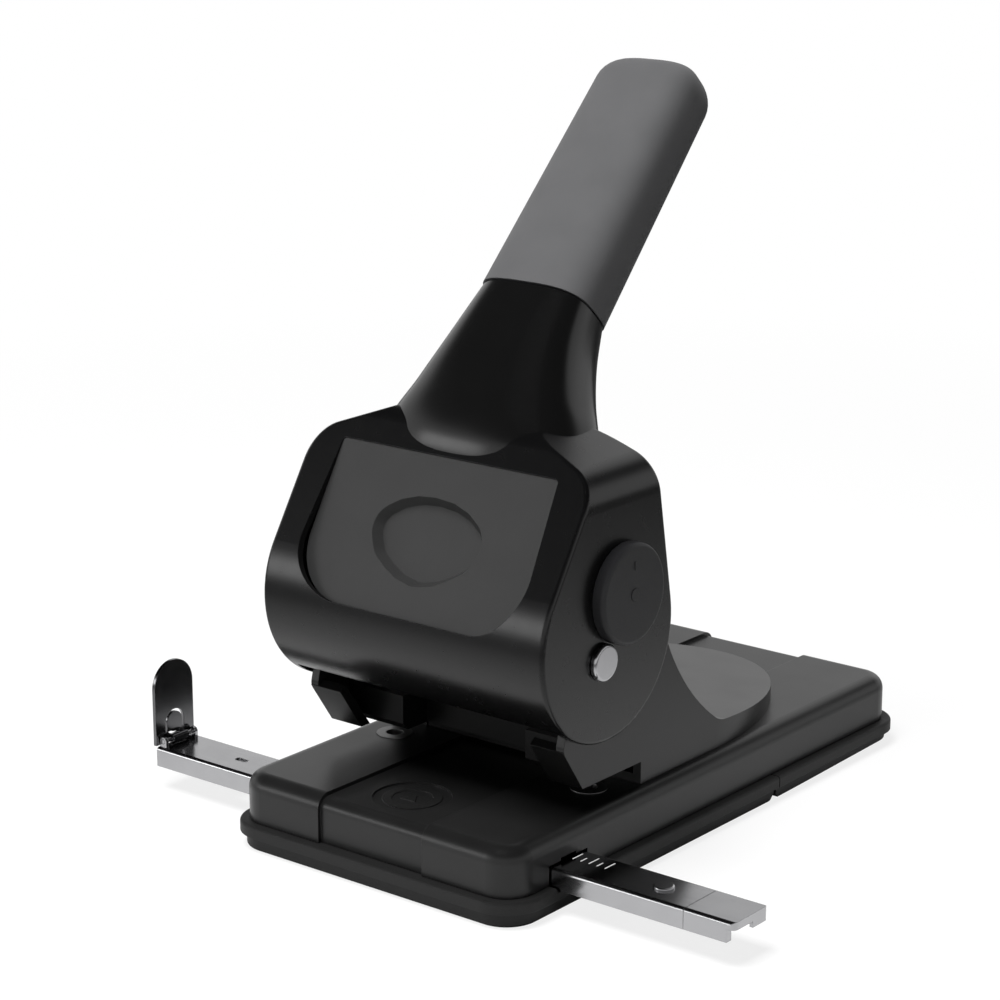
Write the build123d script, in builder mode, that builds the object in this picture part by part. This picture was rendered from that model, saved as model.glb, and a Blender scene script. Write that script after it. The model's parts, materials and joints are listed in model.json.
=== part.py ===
from build123d import *
from math import atan2, cos, hypot, radians, sin, tan
import os

# Heavy duty two hole punch, in millimetres.
# The origin is the middle of the underside of the base.
# X runs along the paper guide bar, Y runs to the back and Z runs up.

# Paper and punching
hole_spacing = 80.0
hole_radius = 2.75
edge_distance = 12.0
throat_height = 7.5
stop_y = -36.9
lever_swing = 44.0
slip = 0.06
touch = 0.15
overrun = 60.0

# Base cover, a pressed shell with a lowered middle channel
cover_margin = 4.7
cover_depth = 215.4
cover_bottom = 8.9
cover_top = 24.5
cover_wall = 1.5
cover_corner_radius = 10.0
cover_top_radius = 5.0
channel_width = 42.0
channel_drop = 1.2
dish_radius = 12.5
dish_depth = 0.7
dish_inset = 20.7
dish_step = 3.0
arrow_width = 6.0
arrow_length = 4.6

# Chip tray under the cover, with its rear emptying flap
tray_lip = 3.2
tray_proud = 1.1
tray_rim_height = 3.8
tray_floor = 2.2
tray_lap = 0.3
tray_edge_radius = 1.0
seam_y = 31.0
seam_gap = 0.5
flap_lift = 0.4
flap_rise = 2.2
flap_pin_radius = 1.2
flap_knuckle_radius = 2.2
flap_knuckle_length = 14.0
flap_knuckle_inset = 24.0
flap_knuckle_gap = 0.3
flap_catch_width = 16.0
flap_catch_length = 3.0
flap_catch_height = 4.0
pad_radius = 7.0
pad_thickness = 1.2
pad_side_inset = 15.0
pad_front_inset = 34.0
pad_back_inset = 26.0
post_radius = 3.6
post_side_inset = 10.0
post_front_inset = 8.8
post_back_inset = 9.0
tray_screw_radius = 1.5
tray_screw_head_radius = 2.9
tray_screw_head_height = 1.3
tray_screw_length = 10.0

# Stiffener plate and hardened dies under the cover
stiffener_thickness = 4.0
stiffener_margin = 6.0
stiffener_lead = 29.0
stiffener_rear = 70.0
stiffener_corner_radius = 6.0
stiffener_window_width = 44.0
stiffener_window_length = 46.0
die_radius = 6.0
die_flange_radius = 7.6
die_flange_height = 1.5
die_proud = 0.2
die_relief_radius = 3.3
die_land = 3.0

# Cast frame that carries the lever and the punches
frame_side_room = 8.3
frame_wall = 3.0
frame_lead = 30.2
frame_front_reach = 9.9
frame_front_rise = 14.4
frame_corner_radius = 3.5
frame_back_reach = 11.9
frame_top_height = 47.0
boss_radius = 11.0
sweep_reach = 43.9
sweep_rise = 9.0
sweep_sagitta = 3.8
sweep_blend_radius = 12.0
tail_reach = 118.9
tail_tip_rise = 2.6
tail_round_reach = 41.9
front_flange_width = 13.0
foot_width = 12.0
foot_thickness = 3.0
foot_back_reach = 40.0
foot_screw_places = (13.0, 33.0)
tail_screw_reach = 94.0
tail_boss_radius = 5.5

# Pivot of the lever
pivot_to_punch = 15.4
pivot_height = 73.1
pivot_radius = 4.0
pivot_fit = 0.05
pivot_head_radius = 5.9
pivot_head_height = 1.9
pivot_head_gap = 0.2
washer_radius = 7.5
washer_play = 0.1
pivot_tube_radius = 6.0

# Lever casing, a hollow moulding round the frame
casing_side_gap = 1.2
casing_cheek = 3.5
casing_skin = 2.5
drum_radius = 33.0
drum_behind_pivot = 3.8
drum_above_pivot = 6.4
front_lean = 32.0
back_lean = 10.0
casing_top = 139.0
shoulder_height = 129.0
crown_inset = 27.0
shoulder_radius = 13.0
crown_radius = 22.0
nose_radius = 8.0
edge_round = 1.4
front_skin_end = 54.3
back_skin_end = 105.0
core_opening_gap = 1.0
panel_top_rise = 35.0
panel_low_drop = 14.5
panel_top_inset = 14.5
panel_low_inset = 11.5
panel_top_radius = 2.5
panel_low_radius = 16.0
panel_depth = 0.8
panel_tilt = 4.0
panel_wall = 2.0
egg_rise = 9.0
egg_spread = 10.0
egg_side_radius = 12.0
egg_crown_radius = 20.0
egg_crown_drop = 5.6
egg_foot_radius = 8.0
egg_foot_drop = 5.6
egg_depth = 1.1
egg_taper = 30.0
egg_groove = 2.4
egg_shift = 0.9

# Neck shroud and handle
neck_wall = 2.2
neck_foot_y = -48.5
neck_foot_height = 121.0
neck_foot_half_width = 31.0
neck_foot_half_depth = 19.8
neck_corner_radius = 7.0
neck_seat_gap = 0.1
sleeve_foot_y = -23.5
sleeve_foot_height = 169.5
handle_lean = 41.3
sleeve_length = 93.0
sleeve_foot_width = 34.8
sleeve_foot_depth = 22.8
sleeve_tip_width = 31.6
sleeve_tip_depth = 21.2
sleeve_corner_radius = 7.5
sleeve_tip_radius = 7.0
sleeve_step = 0.5
core_width = 20.0
core_boss_radius = 10.0
core_neck_radius = 7.5
core_handle_radius = 6.0
core_end_inset = 14.0
core_neck_y = -40.0
core_neck_height = 150.0

# Section shares of the neck from its foot to the sleeve, as back, up, lean, width and depth
neck_shares = (
    (0.00, 0.00, 0.00, 1.00, 1.00),
    (0.06, 0.26, 0.07, 0.97, 0.95),
    (0.32, 0.49, 0.36, 0.66, 0.74),
    (0.64, 0.74, 0.68, 0.32, 0.40),
    (1.00, 1.00, 1.00, 0.00, 0.00),
)

# Cross shaft behind the round side caps
shaft_behind_pivot = 10.8
shaft_above_pivot = 19.4
shaft_radius = 5.0
shaft_reach = 1.5
shaft_tube_radius = 7.5
tube_play = 0.1
cap_radius = 15.9
cap_height = 4.2
cap_edge_radius = 1.5
cap_dimple_radius = 2.2
cap_dimple_depth = 0.5

# Cams and punches
cam_thickness = 5.0
cam_lead = 6.0
cam_boss_radius = 7.5
cam_shaft_boss_radius = 8.5
cam_play = 0.1
cam_steps = 8
cam_corner_radius = 2.5
head_radius = 5.5
head_height = 2.5
head_edge = 0.5
shank_radius = 4.0
punch_fit = 0.05
tip_length = 13.0
tip_hide = 1.2
tip_notch = 1.0
guide_height = 12.0
guide_lip = 1.8
guide_front = 13.1
stop_wall = 2.5
stop_half_width = 35.5
guide_margin = 0.2
guide_notch_width = 50.0
guide_notch_depth = 12.0
guide_bevel = 2.5
guide_ear_height = 24.0
guide_ear_thickness = 2.4
guide_screw_radius = 1.5
guide_screw_head_radius = 2.8
guide_screw_rise = 20.0
guide_screw_spread = 9.5
guide_sink_depth = 1.3
guide_sink_angle = 45.0
spring_wire_radius = 0.6
spring_gap = 0.4
spring_turns = 6
spring_samples = 240

# Paper guide bar with its folding stop
bar_width = 17.8
bar_front_y = -89.1
bar_top = 14.65
bar_drop = 6.6
bar_sheet = 1.2
bar_left = -110.6
bar_right = 104.5
bar_play = 0.25
bar_slot_gap = 0.6
bar_nick_length = 5.0
bar_nick_width = 2.4
bar_nick_inset = 30.7
end_piece_overlap = 22.0
end_piece_right = 122.5
end_piece_flange_cut = 2.7
end_piece_corner_radius = 2.0
end_lip_width = 7.0
end_lip_drop = 3.2
rivet_radius = 1.5
rivet_head_radius = 3.2
rivet_head_height = 0.9
rivet_inset = 13.1
guide_clip_length = 10.0
guide_clip_wall = 2.2
guide_clip_inset = 4.0
flag_height = 28.2
flag_sheet = 1.2
flag_pin_radius = 0.8
flag_ear_radius = 1.5
flag_ear_sheet = 1.2
flag_ear_inset = 1.4
flag_knuckle_length = 7.0
flag_knuckle_radius = 1.5
flag_offset = 1.7
flag_pin_rise = 1.9
flag_pin_inset = 1.6
flag_foot_gap = 0.3
flag_slit = 0.9
flag_slit_height = 10.0

# Frame screws
screw_radius = 2.0
screw_head_radius = 3.6
screw_head_height = 2.4
screw_socket_radius = 1.7
screw_socket_depth = 1.4
screw_end_gap = 0.4

os.makedirs("parts", exist_ok=True)

# Places worked out from the sizes above
half_spacing = hole_spacing / 2
half_frame = half_spacing + frame_side_room + frame_wall
half_width = half_frame + cover_margin
half_depth = cover_depth / 2
half_casing = half_frame + casing_side_gap + casing_cheek
frame_width = 2 * half_frame
cover_width = 2 * half_width
casing_width = 2 * half_casing
throat_top = cover_top + throat_height
punch_y = stop_y - edge_distance
pivot_y = punch_y - pivot_to_punch
pivot_z = pivot_height
swing = radians(lever_swing)
channel_top = cover_top - channel_drop
channel_inside = channel_top - cover_wall
cover_inside = cover_top - cover_wall
stiffener_bottom = channel_inside - stiffener_thickness
drum_y = pivot_y + drum_behind_pivot
drum_z = pivot_z + drum_above_pivot
shaft_y = pivot_y + shaft_behind_pivot
shaft_z = pivot_z + shaft_above_pivot
bar_middle_y = bar_front_y + bar_width / 2
bar_bottom = bar_top - bar_drop
tail_y = stop_y + tail_reach
handle_back = sin(radians(handle_lean))
handle_up = cos(radians(handle_lean))


def finish_part(builder, name):
    # A node's label and its STEP file share the node's name
    builder.part.label = name
    export_step(builder.part, "parts/" + name + ".step")


def cover_form(inset):
    # Solid form of the cover, moved inward by inset, with its lowered channel
    with BuildPart() as form:
        with BuildSketch(Plane.XY.offset(cover_bottom - inset)):
            RectangleRounded(cover_width - 2 * inset, cover_depth - 2 * inset, cover_corner_radius - inset)
        extrude(amount=cover_top - cover_bottom)
        fillet(form.faces().sort_by(Axis.Z)[-1].edges(), radius=cover_top_radius - inset)
    with BuildPart() as low:
        with BuildSketch(Plane.XY.offset(cover_bottom - inset - channel_drop)):
            drop = inset + channel_drop
            RectangleRounded(cover_width - 2 * drop, cover_depth - 2 * drop, cover_corner_radius - drop)
        extrude(amount=cover_top - cover_bottom)
        fillet(low.faces().sort_by(Axis.Z)[-1].edges(), radius=cover_top_radius - drop)
    with BuildPart() as slab:
        with BuildSketch(Plane.XY.offset(-overrun)):
            Rectangle(channel_width + 2 * inset, cover_depth + overrun)
        extrude(amount=cover_top + 2 * overrun)
        add(low.part, mode=Mode.SUBTRACT)
        with BuildSketch(Plane.XY.offset(-overrun)):
            Rectangle(channel_width + 2 * inset, cover_depth - overrun)
        extrude(amount=overrun + cover_bottom, mode=Mode.SUBTRACT)
    with BuildPart() as stepped:
        add(form.part)
        add(slab.part, mode=Mode.SUBTRACT)
    return stepped.part


def casing_form(skin, cheek):
    # Solid form of the lever casing, moved inward by skin all round and by cheek at its sides
    radius = drum_radius - skin
    lean = radians(front_lean)
    back = radians(back_lean)
    top = casing_top - skin
    front_touch = (drum_y - radius * cos(lean), drum_z + radius * sin(lean))
    back_touch = (drum_y + radius * cos(back), drum_z + radius * sin(back))
    front_top = (front_touch[0] + (top - front_touch[1]) * tan(lean), top)
    back_top = (back_touch[0] - (top - back_touch[1]) * tan(back), top)
    with BuildPart() as form:
        with BuildSketch(Plane.YZ) as side:
            with BuildLine():
                Polyline(front_touch, front_top, back_top, back_touch)
                ThreePointArc(back_touch, (drum_y, drum_z - radius), front_touch)
            make_face()
            fillet(side.vertices().group_by(Axis.Y)[-1], radius=nose_radius)
        extrude(amount=half_casing - cheek, both=True)
        side_x = half_casing - cheek
        shoulder = shoulder_height - skin
        crown_x = half_casing - crown_inset
        with BuildSketch(Plane.XZ) as front:
            with BuildLine():
                Polyline(
                    (-side_x, 0),
                    (-side_x, shoulder),
                    (-crown_x, top),
                    (crown_x, top),
                    (side_x, shoulder),
                    (side_x, 0),
                    close=True,
                )
            make_face()
            corners = front.vertices().filter_by(lambda v: v.Y > top / 2)
            outer_corners = corners.filter_by(lambda v: abs(v.X) > (crown_x + side_x) / 2)
            crown_corners = corners.filter_by(lambda v: abs(v.X) < (crown_x + side_x) / 2)
            fillet(outer_corners, radius=shoulder_radius - skin)
            fillet(crown_corners, radius=crown_radius)
        extrude(amount=2 * casing_top, both=True, mode=Mode.INTERSECT)
    return form.part


def neck_section(row, inset):
    # Plane, width, depth and corner radius of one section of the neck
    back, up, lean, width, depth = row
    y = neck_foot_y + back * (sleeve_foot_y - neck_foot_y)
    z = neck_foot_height + up * (sleeve_foot_height - neck_foot_height)
    angle = radians(lean * handle_lean)
    end_width = sleeve_foot_width / 2 - sleeve_step
    end_depth = sleeve_foot_depth / 2 - sleeve_step
    half_w = end_width + width * (neck_foot_half_width - end_width) - inset
    half_d = end_depth + depth * (neck_foot_half_depth - end_depth) - inset
    plane = Plane(origin=(0, y, z), x_dir=(1, 0, 0), z_dir=(0, sin(angle), cos(angle)))
    radius = neck_corner_radius + width * neck_corner_radius - inset
    return plane, half_w, half_d, radius


def neck_form(inset):
    # Solid form of the flared neck, moved inward by inset
    with BuildPart() as form:
        for row in neck_shares:
            plane, half_w, half_d, radius = neck_section(row, inset)
            with BuildSketch(plane):
                RectangleRounded(2 * half_w, 2 * half_d, radius)
        loft()
    return form.part


guide_screw_z = throat_top + guide_screw_rise
guide_screw_spots = [(punch_y - guide_screw_spread, guide_screw_z), (punch_y, guide_screw_z)]

# Base cover
cover_outer = cover_form(0)
cover_inner = cover_form(cover_wall)
dish_y = -half_depth + dish_inset
slot_width = bar_width + 2 * bar_slot_gap
frame_screw_xs = half_frame - frame_wall - foot_width / 2
frame_screw_ys = [stop_y + place for place in foot_screw_places]
frame_screw_spots = [(side * frame_screw_xs, y) for side in (-1, 1) for y in frame_screw_ys]
tail_screw_y = stop_y + tail_screw_reach
post_x = half_width - post_side_inset
post_spots = [(side * post_x, -half_depth + post_front_inset) for side in (-1, 1)]
post_spots += [(side * post_x, seam_y - post_back_inset) for side in (-1, 1)]

with BuildPart() as base_cover:
    add(cover_outer)
    add(cover_inner, mode=Mode.SUBTRACT)
    with BuildSketch(Plane.XY.offset(channel_top)):
        with Locations((0, dish_y)):
            Circle(dish_radius)
    extrude(amount=-dish_depth, mode=Mode.SUBTRACT)
    with BuildSketch(Plane.XY.offset(channel_top - dish_depth)):
        with Locations((0, dish_y)):
            Circle(dish_radius - dish_step)
            Circle(dish_radius - 2 * dish_step, mode=Mode.SUBTRACT)
    extrude(amount=dish_depth / 2)
    with BuildSketch(Plane.XY.offset(channel_top - dish_depth)):
        with BuildLine():
            Polyline(
                (-arrow_width / 2, dish_y - arrow_length / 2),
                (arrow_width / 2, dish_y - arrow_length / 2),
                (0, dish_y + arrow_length / 2),
                close=True,
            )
        make_face()
    extrude(amount=dish_depth / 2)
    with BuildSketch(Plane.XY.offset(cover_top)):
        with Locations((-half_spacing, punch_y), (half_spacing, punch_y)):
            Circle(die_radius + slip)
        with Locations(*frame_screw_spots, (0, tail_screw_y)):
            Circle(screw_radius + slip)
    extrude(amount=-(cover_top - cover_bottom), mode=Mode.SUBTRACT)
    with BuildSketch(Plane.YZ):
        with Locations((bar_middle_y, cover_bottom)):
            Rectangle(slot_width, 2 * (bar_top + bar_slot_gap - cover_bottom))
    extrude(amount=cover_width, both=True, mode=Mode.SUBTRACT)
    with BuildSketch(Plane.YZ):
        with Locations((bar_middle_y, bar_top)):
            Rectangle(2 * rivet_head_radius + 2 * bar_slot_gap, 2 * rivet_head_height + 2 * bar_slot_gap)
    extrude(amount=cover_width, mode=Mode.SUBTRACT)
finish_part(base_cover, "base_cover")

# Posts that join the cover to the tray
with BuildPart() as cover_posts:
    with BuildSketch(Plane.XY.offset(tray_floor + slip)):
        with Locations(*post_spots):
            Circle(post_radius)
            Circle(tray_screw_radius, mode=Mode.SUBTRACT)
    extrude(amount=cover_inside - tray_floor - 2 * slip)
finish_part(cover_posts, "cover_posts")


# Chip tray and flap, cut from one tray form at the seam
def tray_form():
    rim_top = cover_bottom - touch
    low_width = cover_width + 2 * tray_proud
    low_depth = cover_depth + 2 * tray_proud
    corner = cover_corner_radius + tray_proud
    inner_width = cover_width - 2 * cover_wall - 2 * tray_lap
    inner_depth = cover_depth - 2 * cover_wall - 2 * tray_lap
    with BuildPart() as form:
        with BuildSketch():
            RectangleRounded(low_width, low_depth, corner)
        extrude(amount=rim_top)
        fillet(form.faces().sort_by(Axis.Z)[0].edges(), radius=tray_edge_radius)
        with BuildSketch(Plane.XY.offset(rim_top - tray_rim_height)):
            spread = 2 * tray_lip - 2 * tray_proud
            RectangleRounded(low_width + spread, low_depth + spread, corner + spread / 2)
        extrude(amount=tray_rim_height)
        fillet(form.faces().sort_by(Axis.Z)[-1].edges(), radius=tray_edge_radius)
        with BuildSketch(Plane.XY.offset(tray_floor)):
            RectangleRounded(inner_width, inner_depth, cover_corner_radius - cover_wall - tray_lap)
        extrude(amount=rim_top, mode=Mode.SUBTRACT)
        with BuildSketch(Plane.YZ):
            with Locations((bar_middle_y, rim_top)):
                Rectangle(slot_width, 2 * (rim_top - bar_bottom + bar_slot_gap))
        extrude(amount=cover_width, both=True, mode=Mode.SUBTRACT)
    return form.part


tray_whole = tray_form()
tray_reach = half_depth + tray_lip
flap_axis_z = flap_lift + flap_knuckle_radius
knuckle_spots = [side * (half_width - flap_knuckle_inset) for side in (-1, 1)]
knuckle_room = flap_knuckle_radius + flap_knuckle_gap
pad_side = half_width - pad_side_inset
pad_front = -half_depth + pad_front_inset
pad_back = seam_y - pad_back_inset
pad_spots = [(side * pad_side, y) for side in (-1, 1) for y in (pad_front, pad_back)]

# The seam is a narrow gap that opens below into a notch, so that the flap can swing down
with BuildPart() as seam_cut:
    with BuildSketch(Plane.YZ):
        with BuildLine():
            Polyline(
                (seam_y - seam_gap / 2, overrun),
                (seam_y - seam_gap / 2, flap_axis_z),
                (seam_y - seam_gap / 2 - flap_axis_z, 0),
                (seam_y - seam_gap / 2 - flap_axis_z, -overrun),
                (seam_y + seam_gap / 2 + flap_axis_z, -overrun),
                (seam_y + seam_gap / 2 + flap_axis_z, 0),
                (seam_y + seam_gap / 2, flap_axis_z),
                (seam_y + seam_gap / 2, overrun),
                close=True,
            )
        make_face()
    extrude(amount=cover_width, both=True)

with BuildPart() as chip_tray:
    add(tray_whole)
    with BuildSketch(Plane.XY.offset(-overrun)):
        with Locations((0, seam_y + tray_reach)):
            Rectangle(2 * cover_width, 2 * tray_reach)
    extrude(amount=2 * overrun, mode=Mode.SUBTRACT)
    add(seam_cut.part, mode=Mode.SUBTRACT)
    with BuildSketch():
        with Locations(*pad_spots):
            Circle(pad_radius)
    extrude(amount=pad_thickness, mode=Mode.SUBTRACT)
    with BuildSketch():
        with Locations(*post_spots):
            Circle(tray_screw_radius + slip)
    extrude(amount=tray_floor, mode=Mode.SUBTRACT)
    with BuildSketch():
        with Locations(*post_spots):
            Circle(tray_screw_head_radius + slip)
    extrude(amount=tray_screw_head_height, mode=Mode.SUBTRACT)
    for x in knuckle_spots:
        for side in (-1, 1):
            with BuildSketch(Plane.YZ.offset(x + side * flap_knuckle_length)):
                with Locations((seam_y, flap_axis_z)):
                    Circle(flap_knuckle_radius)
                with Locations((seam_y - knuckle_room, flap_axis_z)):
                    Rectangle(2 * knuckle_room, 2 * flap_knuckle_radius)
            extrude(amount=flap_knuckle_length / 2 - flap_knuckle_gap, both=True)
        with BuildSketch(Plane.YZ.offset(x)):
            with Locations((seam_y, flap_axis_z)):
                Circle(knuckle_room)
        extrude(amount=flap_knuckle_length / 2 + flap_knuckle_gap, both=True, mode=Mode.SUBTRACT)
    with BuildSketch(Plane.YZ):
        with Locations((seam_y, flap_axis_z)):
            Circle(flap_pin_radius + slip)
    extrude(amount=half_width - cover_wall, both=True, mode=Mode.SUBTRACT)
finish_part(chip_tray, "chip_tray")

catch_y = half_depth - channel_drop - cover_wall - tray_lap - flap_catch_length / 2
with BuildPart() as chip_flap:
    add(tray_whole)
    with BuildSketch(Plane.XY.offset(-overrun)):
        with Locations((0, seam_y - tray_reach)):
            Rectangle(2 * cover_width, 2 * tray_reach)
    extrude(amount=2 * overrun, mode=Mode.SUBTRACT)
    add(seam_cut.part, mode=Mode.SUBTRACT)
    with BuildSketch(Plane.YZ):
        with BuildLine():
            Polyline(
                (seam_y - overrun, -overrun),
                (seam_y - overrun, flap_lift),
                (seam_y, flap_lift),
                (tray_reach, flap_rise),
                (tray_reach + overrun, flap_rise),
                (tray_reach + overrun, -overrun),
                close=True,
            )
        make_face()
    extrude(amount=cover_width, both=True, mode=Mode.SUBTRACT)
    with BuildSketch(Plane.YZ):
        with BuildLine():
            Polyline(
                (seam_y + knuckle_room, tray_floor),
                (seam_y + knuckle_room, tray_floor + flap_lift),
                (catch_y, tray_floor + flap_rise),
                (catch_y, tray_floor),
                close=True,
            )
        make_face()
    extrude(amount=half_width - cover_wall - tray_lap, both=True)
    for x in knuckle_spots:
        for side in (-1, 1):
            with BuildSketch(Plane.YZ.offset(x + side * flap_knuckle_length)):
                with Locations((seam_y, flap_axis_z)):
                    Circle(knuckle_room)
            extrude(amount=flap_knuckle_length / 2, both=True, mode=Mode.SUBTRACT)
        with BuildSketch(Plane.YZ.offset(x)):
            with Locations((seam_y, flap_axis_z)):
                Circle(flap_knuckle_radius)
            with Locations((seam_y + flap_knuckle_radius, flap_axis_z)):
                Rectangle(2 * flap_knuckle_radius, 2 * flap_knuckle_radius)
        extrude(amount=flap_knuckle_length / 2 - flap_knuckle_gap, both=True)
        with BuildSketch(Plane.YZ.offset(x)):
            with Locations((seam_y, flap_axis_z)):
                Circle(flap_pin_radius + slip)
        extrude(amount=2 * flap_knuckle_length, both=True, mode=Mode.SUBTRACT)
    with BuildSketch(Plane.XY.offset(tray_floor)):
        with Locations((0, catch_y)):
            Rectangle(flap_catch_width, flap_catch_length)
    extrude(amount=cover_bottom - tray_floor + flap_catch_height)
finish_part(chip_flap, "chip_flap")

with BuildPart() as flap_hinge_pins:
    for x in knuckle_spots:
        with BuildSketch(Plane.YZ.offset(x)):
            with Locations((seam_y, flap_axis_z)):
                Circle(flap_pin_radius)
        extrude(amount=3 * flap_knuckle_length / 2, both=True)
finish_part(flap_hinge_pins, "flap_hinge_pins")

with BuildPart() as base_pads:
    with BuildSketch():
        with Locations(*pad_spots):
            Circle(pad_radius - touch)
    extrude(amount=pad_thickness)
    fillet(base_pads.faces().sort_by(Axis.Z)[-1].edges(), radius=pad_thickness / 3)
finish_part(base_pads, "base_pads")

with BuildPart() as tray_screws:
    with BuildSketch():
        with Locations(*post_spots):
            Circle(tray_screw_head_radius)
    extrude(amount=tray_screw_head_height)
    with BuildSketch():
        with Locations(*post_spots):
            Circle(tray_screw_radius - slip)
    extrude(amount=tray_screw_length)
    with BuildSketch():
        with Locations(*post_spots):
            RegularPolygon(tray_screw_radius, 6)
    extrude(amount=tray_screw_head_height / 2, mode=Mode.SUBTRACT)
finish_part(tray_screws, "tray_screws")

# Stiffener plate under the cover, stepped to follow its channel
side_step_x = channel_width / 2 + cover_wall + touch
with BuildPart() as stiffener_plate:
    plate_width = cover_width - 2 * stiffener_margin
    plate_front = stop_y - stiffener_lead
    plate_length = stiffener_rear - plate_front
    plate_middle = (stiffener_rear + plate_front) / 2
    with BuildSketch(Plane.XY.offset(stiffener_bottom)):
        with Locations((0, plate_middle)):
            RectangleRounded(plate_width, plate_length, stiffener_corner_radius)
    extrude(amount=cover_inside - stiffener_bottom)
    with BuildSketch(Plane.XY.offset(channel_inside)):
        with Locations((0, plate_middle)):
            Rectangle(2 * side_step_x, 2 * plate_length)
    extrude(amount=overrun, mode=Mode.SUBTRACT)
    with BuildSketch(Plane.XY.offset(stiffener_bottom)):
        with Locations((0, stop_y + tail_screw_reach / 2)):
            RectangleRounded(stiffener_window_width, stiffener_window_length, stiffener_corner_radius)
        with Locations((-half_spacing, punch_y), (half_spacing, punch_y)):
            Circle(die_radius + slip)
        with Locations(*frame_screw_spots, (0, tail_screw_y)):
            Circle(screw_radius + slip)
        with Locations(*post_spots):
            Circle(post_radius + slip)
        with Locations(*[(side * half_width, post_spots[-1][1]) for side in (-1, 1)]):
            Rectangle(2 * post_side_inset, 2 * post_radius + 2 * slip)
    extrude(amount=overrun, mode=Mode.SUBTRACT)
finish_part(stiffener_plate, "stiffener_plate")

# Hardened dies, flanged below, with a relieved bore for the chips
for side, name in ((-1, "die_left"), (1, "die_right")):
    with BuildPart() as die:
        with BuildSketch(Plane.XY.offset(stiffener_bottom - die_flange_height)):
            with Locations((side * half_spacing, punch_y)):
                Circle(die_flange_radius)
        extrude(amount=die_flange_height)
        with BuildSketch(Plane.XY.offset(stiffener_bottom)):
            with Locations((side * half_spacing, punch_y)):
                Circle(die_radius)
        extrude(amount=cover_top + die_proud - stiffener_bottom)
        with BuildSketch(Plane.XY.offset(stiffener_bottom - die_flange_height)):
            with Locations((side * half_spacing, punch_y)):
                Circle(hole_radius + punch_fit)
        extrude(amount=overrun, mode=Mode.SUBTRACT)
        with BuildSketch(Plane.XY.offset(cover_top + die_proud - die_land)):
            with Locations((side * half_spacing, punch_y)):
                Circle(die_relief_radius)
        extrude(amount=-overrun, mode=Mode.SUBTRACT)
    finish_part(die, name)

# Cast frame, two walls joined behind by a sweeping web that ends in a rounded tail
frame_front_y = stop_y - frame_lead
frame_nose = (frame_front_y - frame_front_reach, throat_top + frame_front_rise)
frame_back = (stop_y + frame_back_reach, cover_top + frame_top_height)
sweep_end = (stop_y + sweep_reach, cover_top + sweep_rise)
tail_tip = (tail_y, cover_top + tail_tip_rise)
round_y = stop_y + tail_round_reach
nose_angle = atan2(pivot_z - frame_nose[1], pivot_y - frame_nose[0])
nose_distance = hypot(pivot_z - frame_nose[1], pivot_y - frame_nose[0])
touch_angle = nose_angle + radians(90) - atan2(boss_radius, nose_distance) + radians(90)
chord = hypot(sweep_end[0] - frame_back[0], sweep_end[1] - frame_back[1])
chord_across = ((frame_back[1] - sweep_end[1]) / chord, (sweep_end[0] - frame_back[0]) / chord)
sweep_middle = (
    (frame_back[0] + sweep_end[0]) / 2 - sweep_sagitta * chord_across[0],
    (frame_back[1] + sweep_end[1]) / 2 - sweep_sagitta * chord_across[1],
)
boss_touch = (pivot_y + boss_radius * cos(touch_angle), pivot_z + boss_radius * sin(touch_angle))
boss_drop = frame_back[1] - pivot_z
boss_end = (pivot_y + (boss_radius**2 - boss_drop**2) ** 0.5, frame_back[1])
web_back = frame_wall * chord_across[0]
web_up = frame_wall * chord_across[1]
nose_length = hypot(frame_front_reach, frame_front_rise)
flange_back = frame_wall * frame_front_rise / nose_length
flange_up = frame_wall * frame_front_reach / nose_length


def frame_plan(inset):
    # Plan of the frame, straight in front and rounded behind, moved inward by inset
    with BuildSketch(Plane.XY) as plan:
        with Locations((0, round_y - frame_width)):
            Rectangle(2 * half_frame - 2 * inset, 2 * frame_width)
        with Locations((0, round_y)):
            Ellipse(half_frame - inset, tail_y - round_y - inset)
    return plan.sketch


with BuildPart() as frame_hollow:
    with BuildSketch(Plane.YZ):
        with BuildLine():
            Polyline(
                (frame_back[0] - web_back, frame_back[1] - web_up),
                (frame_back[0] - web_back, 2 * frame_back[1]),
                (-frame_width, 2 * frame_back[1]),
                (-frame_width, -overrun),
                (tail_tip[0], -overrun),
                (tail_tip[0], tail_tip[1] - web_up),
                (sweep_end[0] - web_back, sweep_end[1] - web_up),
            )
            ThreePointArc(
                (sweep_end[0] - web_back, sweep_end[1] - web_up),
                (sweep_middle[0] - web_back, sweep_middle[1] - web_up),
                (frame_back[0] - web_back, frame_back[1] - web_up),
            )
        make_face()
    extrude(amount=frame_width, both=True)
    with BuildSketch():
        add(frame_plan(frame_wall))
    extrude(amount=frame_width, both=True, mode=Mode.INTERSECT)

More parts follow.
